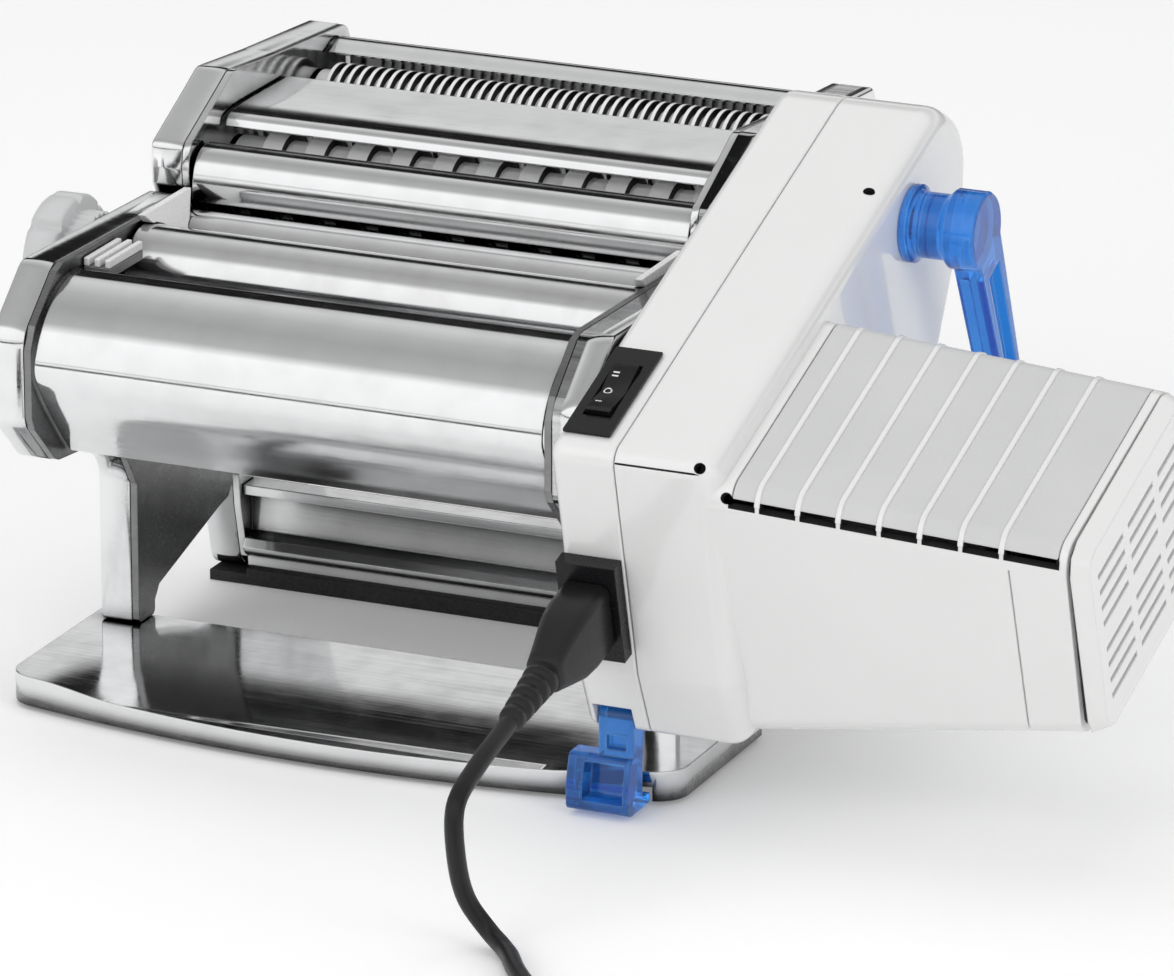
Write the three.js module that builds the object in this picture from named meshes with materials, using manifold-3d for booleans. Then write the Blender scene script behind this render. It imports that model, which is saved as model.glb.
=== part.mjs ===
// Electric pasta maker: chromed rolling head on a sheet base, a two-width cutter unit behind it,
// and a tilted plastic drive unit on its right side. Millimetres, +Z up, front towards -Y.
// Lengths along X start at the left frame plate's inner face, Y at the front of the legs, Z at the table.
import * as THREE from "three";
import { mergeVertices } from "three/addons/utils/BufferGeometryUtils.js";
import Module from "manifold-3d";

const wasm = await Module();
wasm.setup();

// Driving sizes of the whole machine.
const workWidth = 150.6; // clear width between the two inner frame plates
const cheekWidth = 12; // each side cheek, frame plate and shell together
const frameSheet = 2;
const shellSheet = 1;
const coverSheet = 1;
const seat = 0.3; // gap that touching pieces keep
const overrun = 2; // how far a cut runs past what it cuts
const weld = 0.0001; // points closer than this are one point

// Base plate and its rubber strips.
const baseHeight = 9.5;
const baseClearance = 1.2; // lip above the table
const baseLeft = 16;
const baseRight = 33; // past the right frame plate
const baseRear = 9;
const baseFrontEnds = 49;
const baseBow = 12; // how far the middle of the front edge bows out
const baseCorner = 9;

// Side cheeks of the rolling head.
const cheekNose = 62; // in front of the legs
const cheekDepth = 122;
const cheekTop = 126.5;

// Smooth rollers.
const rollerEndGap = 0.8;
const rollerShaft = 5;
const rearAxis = { y: 29.8, z: 109.2 };
const rollerSpacing = 25.45; // between the two axes at the thinnest setting
const rollerNip = 0.45; // gap between the two rollers at that setting
const rollerRadius = (rollerSpacing - rollerNip) / 2;
const rollerRise = 2.8; // front axis above the rear one
const thicknessTravel = 2.4;
const frontAxis = {
  y: rearAxis.y - Math.sqrt(rollerSpacing ** 2 - rollerRise ** 2),
  z: rearAxis.z + rollerRise,
};

// Cutter unit.
const cutterOuter = 10.6;
const cutterCore = 8.2;
const cutterShaft = 4;
const cutterTipGap = 0.4;
const cutterSpacing = cutterOuter + cutterCore + cutterTipGap;
const wideNipY = 57.6;
const cutterClear = 0.8; // between the rear smooth roller and the first cutter
const cutterReach = rollerRadius + cutterOuter + cutterClear;
const cutterLead = wideNipY - cutterSpacing / 2 - rearAxis.y;
const wideAxisZ = rearAxis.z + Math.sqrt(Math.max(cutterReach ** 2 - cutterLead ** 2, 0));
const fineNipY = 110;
const fineAxisZ = 130;
const widePitch = 13;
const wideDiscs = 11;
const finePitch = 5.2;
const fineDiscs = 27;
const cutterCheekFront = 35;
const cutterCheekDepth = 106;
const cutterCheekTop = 152.5;
const rearFootHeight = 3;

// Drive unit.
const housingGap = 0.4; // between the right cheek and the housing
const housingLeftWidth = 18;
const housingWidth = 47;
const housingFront = 88;
const housingDepth = 179;
const housingBottom = 25;
const housingHeight = 140.5;
const housingWall = 2.5;
const motorTilt = THREE.MathUtils.degToRad(18.9);
const motorLength = 91.5; // box past the tall housing, without its end cap
const motorNear = { y: -34.5, z: 78.25, depth: 81.4, height: 81 };
const motorFar = { y: -28, z: 78.75, depth: 78, height: 60.2 };
const motorCorner = 7;
const endCapDepth = 4.7;

// Thickness knob's spindle, and the facets of small round parts.
const spindleRadius = 8;
const boreSides = 12;
const leadSides = 10;

// Power cord.
const cordDiameter = 5;
const coilPitch = 5.6;
const coilMiddle = 27.5; // radius at the middle of the turns

// Places along X that several pieces share.
const rightPlate = workWidth;
const rightBay = rightPlate + frameSheet;
const rightCheekFace = rightPlate + cheekWidth;
const housingX = rightCheekFace + housingGap;
const seamX = housingX + housingLeftWidth;
const motorX = housingX + housingWidth;
const motorEndX = motorX + motorLength;

const axisX = new THREE.Vector3(1, 0, 0);
const axisY = new THREE.Vector3(0, 1, 0);
const axisZ = new THREE.Vector3(0, 0, 1);

// A closed geometry as a solid that can be joined and cut.
function solidOf(geometry) {
  const bare = geometry.index ? geometry.toNonIndexed() : geometry.clone();
  bare.deleteAttribute("normal");
  bare.deleteAttribute("uv");
  const merged = mergeVertices(bare, weld);
  const corners = merged.index.array;
  const kept = [];
  for (let i = 0; i < corners.length; i += 3) {
    const [a, b, c] = [corners[i], corners[i + 1], corners[i + 2]];
    if (a !== b && b !== c && a !== c) kept.push(a, b, c);
  }
  const mesh = new wasm.Mesh({
    numProp: 3,
    vertProperties: merged.attributes.position.array,
    triVerts: new Uint32Array(kept),
  });
  const solid = new wasm.Manifold(mesh);
  if (solid.volume() > 0) return solid;
  const turnedOver = (_, i, all) => all[i % 3 === 0 ? i : 3 * Math.floor(i / 3) + 3 - (i % 3)];
  mesh.triVerts = mesh.triVerts.map(turnedOver);
  return new wasm.Manifold(mesh);
}

const joined = (solids) => solids.reduce((all, one) => all.add(one));
const cutFrom = (solid, cuts) => cuts.reduce((rest, cut) => rest.subtract(cut), solid);

// Corners are [first, second, radius]; a corner with a radius becomes an arc.
function rounded(corners, steps = 2) {
  const points = [];
  corners.forEach(([first, second, radius = 0], i) => {
    const here = new THREE.Vector2(first, second);
    if (radius <= 0) {
      points.push(here);
      return;
    }
    const before = corners.at(i - 1);
    const after = corners[(i + 1) % corners.length];
    const back = new THREE.Vector2(before[0], before[1]).sub(here).normalize();
    const on = new THREE.Vector2(after[0], after[1]).sub(here).normalize();
    const half = Math.acos(THREE.MathUtils.clamp(back.dot(on), -1, 1)) / 2;
    const centre = back.clone().add(on).normalize().multiplyScalar(radius / Math.sin(half)).add(here);
    const start = back.clone().multiplyScalar(radius / Math.tan(half)).add(here).sub(centre);
    const end = on.clone().multiplyScalar(radius / Math.tan(half)).add(here).sub(centre);
    const sweep = Math.atan2(start.cross(end), start.dot(end));
    for (let k = 0; k <= steps; k++) {
      points.push(start.clone().rotateAround(new THREE.Vector2(), (sweep * k) / steps).add(centre));
    }
  });
  return points;
}

// Corners moved inwards by a distance, with their radii kept concentric.
function inset(corners, distance) {
  const flat = corners.map(([first, second]) => new THREE.Vector2(first, second));
  const turn = Math.sign(THREE.ShapeUtils.area(flat));
  return flat.map((here, i) => {
    const on = flat[(i + 1) % flat.length].clone().sub(here).normalize();
    const along = here.clone().sub(flat.at(i - 1)).normalize();
    const inOne = new THREE.Vector2(-along.y, along.x).multiplyScalar(turn);
    const inTwo = new THREE.Vector2(-on.y, on.x).multiplyScalar(turn);
    const shift = inOne.clone().add(inTwo).multiplyScalar(distance / (1 + inOne.dot(inTwo)));
    const convex = along.cross(on) * turn > 0;
    const radius = corners[i][2] || 0;
    const moved = radius ? Math.max(convex ? radius - distance : radius + distance, 0) : 0;
    return [here.x + shift.x, here.y + shift.y, moved];
  });
}

// Corners from a table of shares of a depth and a height; the third share is the corner radius.
function fromShares(shares, front, bottom, depth, height) {
  return shares.map(([across, up, round = 0]) => [
    front + across * depth,
    bottom + up * height,
    round * height,
  ]);
}

// A strip of sheet along a line of points, as a closed outline.
function sheetOutline(line, thickness) {
  const points = line.map(([first, second]) => new THREE.Vector2(first, second));
  const side = (sign) =>
    points.map((here, i) => {
      const before = points[Math.max(i - 1, 0)];
      const after = points[Math.min(i + 1, points.length - 1)];
      const along = here.clone().sub(before).normalize();
      const on = after.clone().sub(here).normalize();
      if (i === 0) along.copy(on);
      if (i === points.length - 1) on.copy(along);
      const one = new THREE.Vector2(-along.y, along.x);
      const two = new THREE.Vector2(-on.y, on.x);
      const reach = (sign * thickness) / 2 / (1 + one.dot(two));
      return one.add(two).multiplyScalar(reach).add(here);
    });
  return [...side(1), ...side(-1).reverse()];
}

// A closed outline in Y and Z run along X.
function alongX(outline, from, to) {
  const shape = new THREE.Shape(outline);
  const geometry = new THREE.ExtrudeGeometry(shape, { depth: to - from, bevelEnabled: false });
  geometry.applyMatrix4(new THREE.Matrix4().makeBasis(axisY, axisZ, axisX));
  geometry.translate(from, 0, 0);
  return solidOf(geometry);
}

// A closed outline in X and Z run along Y.
function alongY(outline, from, to) {
  const shape = new THREE.Shape(outline);
  const geometry = new THREE.ExtrudeGeometry(shape, { depth: to - from, bevelEnabled: false });
  geometry.applyMatrix4(new THREE.Matrix4().makeBasis(axisX, axisZ, axisY.clone().negate()));
  geometry.translate(0, to, 0);
  return solidOf(geometry);
}

// A closed outline in X and Y run along Z.
function alongZ(outline, from, to) {
  const shape = new THREE.Shape(outline);
  const geometry = new THREE.ExtrudeGeometry(shape, { depth: to - from, bevelEnabled: false });
  geometry.translate(0, 0, from);
  return solidOf(geometry);
}

// A block between two corners.
function block(low, high) {
  const size = high.map((value, i) => value - low[i]);
  const geometry = new THREE.BoxGeometry(...size);
  geometry.translate(...low.map((value, i) => value + size[i] / 2));
  return solidOf(geometry);
}

// A body turned about X: the profile is [x, radius] from left to right and closes on the axis.
function turned(profile, sides, centre = { y: 0, z: 0 }) {
  const points = profile.map(([x, radius]) => new THREE.Vector2(radius, x));
  const geometry = new THREE.LatheGeometry(points, sides);
  geometry.applyMatrix4(new THREE.Matrix4().makeBasis(axisY, axisX, axisZ.clone().negate()));
  geometry.translate(0, centre.y, centre.z);
  return solidOf(geometry);
}

function rod(centre, radius, from, to, sides = 16) {
  return turned([[from, 0], [from, radius], [to, radius], [to, 0]], sides, centre);
}

// A straight-flanked gear outline about its own centre; phase turns one tooth to that angle.
function gearOutline(teeth, pitchRadius, tipRadius, rootRadius, phase) {
  const tipHalfShare = 0.11;
  const rootHalfShare = 0.235;
  const points = [];
  for (let i = 0; i < teeth; i++) {
    const middle = phase + (i * 2 * Math.PI) / teeth;
    const step = (2 * Math.PI) / teeth;
    for (const [radius, share] of [
      [rootRadius, -rootHalfShare],
      [tipRadius, -tipHalfShare],
      [tipRadius, tipHalfShare],
      [rootRadius, rootHalfShare],
    ]) {
      const angle = middle + share * step;
      points.push(new THREE.Vector2(radius * Math.cos(angle), radius * Math.sin(angle)));
    }
  }
  return points;
}

// The phase of a second gear that meshes with a first one at rest.
function meshPhase(phase, teeth, centre, nextTeeth, nextCentre) {
  const line = Math.atan2(nextCentre.z - centre.z, nextCentre.y - centre.y);
  return line + Math.PI + ((line - phase) * teeth) / nextTeeth + Math.PI / nextTeeth;
}

function gear(teeth, pitchRadius, addendum, dedendum, phase, from, to, centre) {
  const outline = gearOutline(teeth, pitchRadius, pitchRadius + addendum, pitchRadius - dedendum, phase);
  return alongX(outline, from, to).translate([0, centre.y, centre.z]);
}

// Finishes.
const chrome = { color: 0xd9dcdf, metalness: 1, roughness: 0.12 };
const steel = { color: 0xb4b7ba, metalness: 1, roughness: 0.35 };
const darkSteel = { color: 0x6f7275, metalness: 0.9, roughness: 0.45 };
const whitePlastic = { color: 0xe6e6e4, metalness: 0, roughness: 0.35 };
const blackPlastic = { color: 0x17181a, metalness: 0, roughness: 0.4 };
const bluePlastic = { color: 0x1f62c4, metalness: 0, roughness: 0.15, transparent: true, opacity: 0.75 };
const greyPlastic = { color: 0xb9bbbd, metalness: 0, roughness: 0.4 };
const nylon = { color: 0xe8e2cf, metalness: 0, roughness: 0.5 };
const rubber = { color: 0x1b1b1c, metalness: 0, roughness: 0.85 };

const machine = new THREE.Group();

function piece(name, solid, finish, group = machine) {
  const made = solid.getMesh();
  const points = new Float32Array(made.numVert * 3);
  for (let i = 0; i < made.numVert; i++) {
    points.set(made.vertProperties.subarray(i * made.numProp, i * made.numProp + 3), i * 3);
  }
  const geometry = new THREE.BufferGeometry();
  geometry.setAttribute("position", new THREE.BufferAttribute(points, 3));
  geometry.setIndex(new THREE.BufferAttribute(made.triVerts, 1));
  geometry.computeVertexNormals();
  const mesh = new THREE.Mesh(geometry, new THREE.MeshStandardMaterial(finish));
  mesh.name = name;
  group.add(mesh);
  return mesh;
}

// Base plate: a bowed pan of chromed sheet, its lip turned down to just above the table.
const baseLeftX = -baseLeft;
const baseRightX = rightPlate + baseRight;

function baseOutline(inwards) {
  const bowSteps = 10;
  const corners = [
    [baseLeftX + inwards, baseRear - inwards, 0],
    [baseLeftX + inwards, -baseFrontEnds + inwards, baseCorner - inwards],
  ];
  const length = baseRightX - baseLeftX;
  for (let i = 1; i < bowSteps; i++) {
    const share = i / bowSteps;
    const bow = baseBow * (1 - (2 * share - 1) ** 2);
    corners.push([baseLeftX + share * length, -baseFrontEnds - bow + inwards, 0]);
  }
  corners.push([baseRightX - inwards, -baseFrontEnds + inwards, baseCorner - inwards]);
  corners.push([baseRightX - inwards, baseRear - inwards, 0]);
  return rounded(corners);
}

const latchInset = 7.8; // right of the right frame plate
const latchLeft = rightPlate + latchInset;
const latchWidth = 18;
const latchNotch = 4; // height of the cut in the lip that the latch hooks into

function addBase() {
  const pan = cutFrom(alongZ(baseOutline(0), baseClearance, baseHeight), [
    alongZ(baseOutline(shellSheet), baseClearance - overrun, baseHeight - shellSheet),
  ]);
  const notchLow = [latchLeft - seat, -baseFrontEnds - baseBow - overrun, baseClearance - overrun];
  const notchHigh = [latchLeft + latchWidth + seat, -baseFrontEnds + overrun, baseClearance + latchNotch];
  piece("base_plate", pan.subtract(block(notchLow, notchHigh)), chrome);

  const stripWidth = 8;
  const stripInset = 6;
  const stripTop = baseHeight - shellSheet - seat;
  const frontStrip = -baseFrontEnds + stripInset;
  const rearStrip = baseRear - shellSheet - stripInset - stripWidth;
  for (const [name, y, right] of [
    ["base_front_strip", frontStrip, latchLeft - stripInset],
    ["base_rear_strip", rearStrip, baseRightX - stripInset],
  ]) {
    piece(name, block([baseLeftX + stripInset, y, 0], [right, y + stripWidth, stripTop]), rubber);
  }
}

addBase();

// Side cheeks of the rolling head: a steel frame plate inside and a chromed shell outside, on one outline.
const cheekBottom = baseHeight + seat;
const cheekShares = [
  [0.508, 0, 0.009],
  [0.508, 0.404, 0.086],
  [0.287, 0.516, 0.051],
  [0.115, 0.533, 0.034],
  [0, 0.653, 0.043],
  [0, 0.867, 0.069],
  [0.148, 1, 0.051],
  [0.791, 0.983, 0.02],
  [0.844, 0.884, 0.03],
  [1, 0.859, 0.02],
  [1, 0.173, 0.03],
  [0.934, 0.16, 0.02],
  [0.59, 0.059, 0.034],
  [0.59, 0, 0.009],
];
const cheekCorners = fromShares(cheekShares, -cheekNose, cheekBottom, cheekDepth, cheekTop - cheekBottom);

const bushRadius = 8;
const blockHalf = 8;

// The hole that the front roller's sliding block runs in, and the clearance that its shaft needs.
function slideSlot(half, from, to) {
  return block(
    [from, frontAxis.y - half - thicknessTravel, frontAxis.z - half],
    [to, frontAxis.y + half, frontAxis.z + half],
  );
}

function shellPan(corners, plateSide, faceSide) {
  const inner = plateSide + Math.sign(faceSide - plateSide) * (frameSheet + seat);
  const low = Math.min(inner, faceSide);
  const high = Math.max(inner, faceSide);
  const floor = Math.sign(faceSide - plateSide) * shellSheet;
  const hollowEnd = faceSide - floor;
  const from = Math.min(hollowEnd, inner - Math.sign(faceSide - plateSide) * overrun);
  const to = Math.max(hollowEnd, inner - Math.sign(faceSide - plateSide) * overrun);
  const body = alongX(rounded(corners), low, high);
  return body.subtract(alongX(rounded(inset(corners, shellSheet)), from, to));
}

const shaftClearance = 0.6;

function addCheeks() {
  const outline = rounded(cheekCorners, 1);
  const bushHole = rod(rearAxis, bushRadius + seat, -overrun - frameSheet, rightBay + overrun);
  const slot = slideSlot(blockHalf + seat, -overrun - frameSheet, rightBay + overrun);
  const left = alongX(outline, -frameSheet, 0);
  const right = alongX(outline, rightPlate, rightBay);
  piece("left_frame_plate", cutFrom(left, [bushHole, slot]), steel);
  piece("right_frame_plate", cutFrom(right, [bushHole, slot]), steel);

  const spindleHole = rod(frontAxis, spindleRadius + seat, -cheekWidth - overrun, -cheekWidth + overrun);
  piece("left_side_shell", shellPan(cheekCorners, 0, -cheekWidth).subtract(spindleHole), chrome);
  const shafts = [
    rod(rearAxis, rollerShaft + shaftClearance, rightCheekFace - overrun, rightCheekFace + overrun),
    slideSlot(rollerShaft + shaftClearance, rightCheekFace - overrun, rightCheekFace + overrun),
  ];
  piece("right_side_shell", cutFrom(shellPan(cheekCorners, rightPlate, rightCheekFace), shafts), chrome);
}

addCheeks();

// Front cover: one curved sheet between the cheeks, and the tie rod that holds the plates apart.
const coverEndGap = 0.8;
const coverShares = [
  [0.25, 0.971],
  [0.18, 0.963],
  [0.115, 0.938],
  [0.057, 0.893],
  [0.018, 0.835],
  [0.006, 0.781],
  [0.041, 0.713],
  [0.131, 0.593],
  [0.172, 0.545],
];

function addFrontCover() {
  const corners = fromShares(coverShares, -cheekNose, cheekBottom, cheekDepth, cheekTop - cheekBottom);
  const outline = sheetOutline(corners, coverSheet);
  piece("front_cover", alongX(outline, coverEndGap, workWidth - coverEndGap), chrome);

  const tieRadius = 3.5;
  const tieShares = [1.3, 2.6]; // of a roller's radius, behind and below the rear axis
  const tieAxis = {
    y: rearAxis.y + tieShares[0] * rollerRadius,
    z: rearAxis.z - tieShares[1] * rollerRadius,
  };
  piece("tie_rod", rod(tieAxis, tieRadius, seat, workWidth - seat, boreSides), steel);
}

addFrontCover();

// Smooth rollers: the rear one turns in bushes, the front one in blocks that slide with the knob.
const rollerSides = 24;
const blockFlange = 1.8;
const blockFlangeThick = 2.4;
const rollerLeft = rollerEndGap;
const rollerRight = workWidth - rollerEndGap;
const shaftLeft = -frameSheet - blockFlangeThick;
const couplingX = rightCheekFace - shellSheet; // where the drive shaft meets the rear roller
const runGap = 0.3; // running gap between a shaft and its bush

// Gear layers inside the drive housing.
const layerThick = 4;
const layerGap = 1;
const layerOne = housingX + housingWall + layerGap;
const layerTwo = layerOne + layerThick + layerGap;
const layerThree = layerTwo + layerThick + layerGap;
const rollerTeeth = 10;
const rollerPitch = rollerSpacing / 2;
const rollerAddendum = 2.2;
const rollerDedendum = 2.6;
const rearPhase = 0;
const frontPhase = meshPhase(rearPhase, rollerTeeth, rearAxis, rollerTeeth, frontAxis);

function rollerProfile(rightEnd) {
  return [
    [shaftLeft, 0],
    [shaftLeft, rollerShaft],
    [rollerLeft, rollerShaft],
    [rollerLeft, rollerRadius],
    [rollerRight, rollerRadius],
    [rollerRight, rollerShaft],
    [rightEnd, rollerShaft],
    [rightEnd, 0],
  ];
}

function addRollers() {
  const frontEnd = layerOne + layerThick + layerGap;
  piece("rear_roller", turned(rollerProfile(couplingX - seat), rollerSides, rearAxis), steel);
  piece("front_roller", turned(rollerProfile(frontEnd), rollerSides, frontAxis), steel);

  const layer = [layerOne, layerOne + layerThick];
  for (const [name, phase, centre] of [
    ["rear_roller_gear", rearPhase, rearAxis],
    ["front_roller_gear", frontPhase, frontAxis],
  ]) {
    const wheel = gear(rollerTeeth, rollerPitch, rollerAddendum, rollerDedendum, phase, ...layer, centre);
    const bore = rod(centre, rollerShaft + runGap, layer[0] - overrun, layer[1] + overrun);
    piece(name, wheel.subtract(bore), darkSteel);
  }

  // Sliding blocks: a square body in the plate's slot and a wider flange outside it.
  const half = blockHalf;
  const wide = blockHalf + blockFlange;
  for (const [name, inner, outward] of [
    ["front_block_left", 0, -1],
    ["front_block_right", rightPlate, 1],
  ]) {
    const plateOut = inner + outward * frameSheet;
    const flangeIn = outward > 0 ? plateOut + seat : plateOut - seat;
    const flangeOut = flangeIn + outward * blockFlangeThick;
    const bodyEnds = [inner + outward * seat, flangeOut].sort((a, b) => a - b);
    const flangeEnds = [flangeIn, flangeOut].sort((a, b) => a - b);
    const body = block(
      [bodyEnds[0], frontAxis.y - half, frontAxis.z - half],
      [bodyEnds[1], frontAxis.y + half, frontAxis.z + half],
    );
    const flange = block(
      [flangeEnds[0], frontAxis.y - half, frontAxis.z - wide],
      [flangeEnds[1], frontAxis.y + half, frontAxis.z + wide],
    );
    const bore = rod(frontAxis, rollerShaft + runGap, bodyEnds[0] - overrun, bodyEnds[1] + overrun);
    piece(name, body.add(flange).subtract(bore), nylon);
  }
}

addRollers();

// Scrapers: bent strips whose edges stand just off the underside of each smooth roller.
const scraperStandOff = 0.4;
const scraperReach = 12; // along its slope
const scraperFoot = 5;

function scraperOutline(centre, side) {
  const tipAngle = THREE.MathUtils.degToRad(86);
  const slope = THREE.MathUtils.degToRad(38);
  const reach = rollerRadius + scraperStandOff + coverSheet;
  const tipY = centre.y + side * reach * Math.cos(tipAngle);
  const tipZ = centre.z - reach * Math.sin(tipAngle);
  const kneeY = tipY + side * scraperReach * Math.cos(slope);
  const kneeZ = tipZ - scraperReach * Math.sin(slope);
  return sheetOutline([[tipY, tipZ], [kneeY, kneeZ], [kneeY + side * scraperFoot, kneeZ]], coverSheet);
}

piece("rear_scraper", alongX(scraperOutline(rearAxis, 1), seat, workWidth - seat), steel);
piece("front_scraper", alongX(scraperOutline(frontAxis, -1), seat, workWidth - seat), steel);

// Feed guides: wedges that lie in the valley above the nip and keep dough off the cheeks.
const guideAbove = 1;
const guideTop = cheekTop + guideAbove;
const guideWidth = 8;
const guideCrest = 2;

const openAxis = {
  y: frontAxis.y - (thicknessTravel * (rearAxis.y - frontAxis.y)) / rollerSpacing,
  z: frontAxis.z + (thicknessTravel * rollerRise) / rollerSpacing,
};

function feedGuide(name, side) {
  const wall = side > 0 ? seat : workWidth - seat;
  const valleyY = (frontAxis.y + rearAxis.y) / 2;
  const valleyZ = rearAxis.z + rollerShaft;
  const spread = rollerRadius + guideCrest;
  const triangle = [
    [valleyY, valleyZ],
    [valleyY + spread, guideTop],
    [valleyY - spread, guideTop],
  ].map(([y, z]) => new THREE.Vector2(y, z));
  const wedge = [
    [wall, valleyZ],
    [wall + side * guideWidth, valleyZ],
    [wall + side * guideCrest, guideTop],
    [wall, guideTop],
  ].map(([x, z]) => new THREE.Vector2(x, z));
  const ends = [wall, wall + side * guideWidth].sort((a, b) => a - b);
  const prism = alongX(triangle, ends[0], ends[1]);
  const slanted = alongY(wedge, valleyY - spread, valleyY + spread);
  const reach = rollerRadius + scraperStandOff;
  const clear = [frontAxis, openAxis, rearAxis].map((axis) =>
    rod(axis, reach, ends[0] - overrun, ends[1] + overrun, rollerSides),
  );
  piece(name, cutFrom(prism.intersect(slanted), clear), whitePlastic);
}

feedGuide("left_feed_guide", 1);
feedGuide("right_feed_guide", -1);

// A ribbed guard closes the gap between the front cover and the front roller at its left end.
function addGuard() {
  const guardWidth = 8;
  const guardFront = -cheekNose + coverShares[0][0] * cheekDepth + coverSheet;
  const guardRear = frontAxis.y - rollerRadius - thicknessTravel;
  const guardDrop = 3;
  const guardTop = cheekTop - guardDrop;
  const guardThick = 4;
  const ribs = 3;
  const ribHeight = 1;
  const ribWidth = guardWidth / (2 * ribs - 1);
  const low = [seat, guardFront, guardTop - guardThick];
  const solids = [block(low, [seat + guardWidth, guardRear, guardTop])];
  for (let i = 0; i < ribs; i++) {
    const x = seat + 2 * i * ribWidth;
    const ribLow = [x, guardFront, guardTop - ribHeight];
    solids.push(block(ribLow, [x + ribWidth, guardRear, guardTop + ribHeight]));
  }
  piece("roller_end_guard", joined(solids), greyPlastic);
}

addGuard();

// Bushes of the rear roller: flanged rings in the frame plates.
for (const [name, inner, outward] of [
  ["rear_bush_left", 0, -1],
  ["rear_bush_right", rightPlate, 1],
]) {
  const flangeIn = inner + outward * (frameSheet + seat);
  const flangeOut = flangeIn + outward * blockFlangeThick;
  const ends = [inner + outward * seat, flangeOut].sort((a, b) => a - b);
  const flangeEnds = [flangeIn, flangeOut].sort((a, b) => a - b);
  const ring = rod(rearAxis, bushRadius, ends[0], ends[1], boreSides);
  const flange = rod(rearAxis, bushRadius + blockFlange, flangeEnds[0], flangeEnds[1], boreSides);
  const bore = rod(rearAxis, rollerShaft + runGap, ends[0] - overrun, ends[1] + overrun);
  piece(name, ring.add(flange).subtract(bore), nylon);
}

// Thickness knob: a round grip on a notched neck, with a spindle that reaches the sliding block.
function addKnob() {
  const knobRadius = 18;
  const gripWidth = 10;
  const neckWidth = 6;
  const notchSides = 6;
  const neckRadius = 14;
  const notches = 8;
  const notchRadius = 1.6;
  const neckRight = -cheekWidth - seat;
  const gripRight = neckRight - neckWidth;
  const gripLeft = gripRight - gripWidth;
  const spindleRight = shaftLeft - 2 * seat;
  const chamfer = gripWidth / 5;
  const profile = [
    [gripLeft, 0],
    [gripLeft, knobRadius - chamfer],
    [gripLeft + chamfer, knobRadius],
    [gripRight, knobRadius],
    [gripRight, neckRadius],
    [neckRight, neckRadius],
    [neckRight, spindleRadius],
    [spindleRight, spindleRadius],
    [spindleRight, 0],
  ];
  const cuts = [];
  for (let i = 0; i < notches; i++) {
    const angle = (i * 2 * Math.PI) / notches;
    const centre = {
      y: frontAxis.y + knobRadius * Math.cos(angle),
      z: frontAxis.z + knobRadius * Math.sin(angle),
    };
    cuts.push(rod(centre, notchRadius, gripLeft - overrun, gripRight - chamfer, notchSides));
  }
  piece("thickness_knob", cutFrom(turned(profile, rollerSides, frontAxis), cuts), greyPlastic);
}

addKnob();

// Cutter unit cheeks: taller plates and shells behind the rolling head, which stand on the table.
const cutterBottom = rearFootHeight + seat;
const cutterShares = [
  [0, 0.856, 0.013],
  [0.006, 0.903, 0.02],
  [0.195, 0.97, 0.02],
  [0.277, 1, 0.034],
  [0.547, 0.983, 0.027],
  [0.972, 0.963, 0.02],
  [1, 0.923, 0.02],
  [1, 0.729, 0.054],
  [0.783, 0.246, 0.1],
  [0.651, 0, 0.04],
  [0.33, 0, 0.04],
  [0.283, 0.139, 0.04],
  [0.25, 0.38, 0.04],
  [0.25, 0.722, 0.02],
  [0.069, 0.742, 0.02],
  [0.004, 0.824, 0.02],
];
const cutterCorners = fromShares(
  cutterShares,
  cutterCheekFront,
  cutterBottom,
  cutterCheekDepth,
  cutterCheekTop - cutterBottom,
);
const wideFront = { y: wideNipY - cutterSpacing / 2, z: wideAxisZ };
const wideRear = { y: wideNipY + cutterSpacing / 2, z: wideAxisZ };
const fineFront = { y: fineNipY - cutterSpacing / 2, z: fineAxisZ };
const fineRear = { y: fineNipY + cutterSpacing / 2, z: fineAxisZ };

// Two idler gears carry the drive back from the wide pair to the fine pair, one gear spacing apart.
function idlersBetween(first, last) {
  const line = new THREE.Vector2(last.y - first.y, last.z - first.z);
  const inwards = (line.length() - cutterSpacing) / 2;
  const drop = Math.sqrt(cutterSpacing ** 2 - inwards ** 2);
  const way = line.normalize();
  const at = (base, sign) => ({
    y: base.y + sign * inwards * way.x + drop * way.y,
    z: base.z + sign * inwards * way.y - drop * way.x,
  });
  return [at(first, 1), at(last, -1)];
}

const idlerCentres = idlersBetween(wideRear, fineFront);
const idlerShaft = 3;
const cutterAxes = [wideFront, wideRear, fineFront, fineRear];

function addCutterCheeks() {
  const outline = rounded(cutterCorners, 1);
  const holes = cutterAxes.map((axis) =>
    rod(axis, cutterShaft + runGap, -frameSheet - overrun, rightBay + overrun, boreSides),
  );
  const idlerHoles = idlerCentres.map((axis) =>
    rod(axis, idlerShaft + runGap, rightPlate - overrun, rightBay + overrun, boreSides),
  );
  piece("cutter_left_plate", cutFrom(alongX(outline, -frameSheet, 0), holes), steel);
  const right = alongX(outline, rightPlate, rightBay);
  piece("cutter_right_plate", cutFrom(right, [...holes, ...idlerHoles]), steel);
  piece("cutter_left_shell", shellPan(cutterCorners, 0, -cheekWidth), chrome);
  const shafts = [wideFront, wideRear].map((axis) =>
    rod(axis, cutterShaft + shaftClearance, rightCheekFace - overrun, rightCheekFace + overrun, boreSides),
  );
  const rightShell = shellPan(cutterCorners, rightPlate, rightCheekFace);
  piece("cutter_right_shell", cutFrom(rightShell, shafts), chrome);
}

addCutterCheeks();

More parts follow.
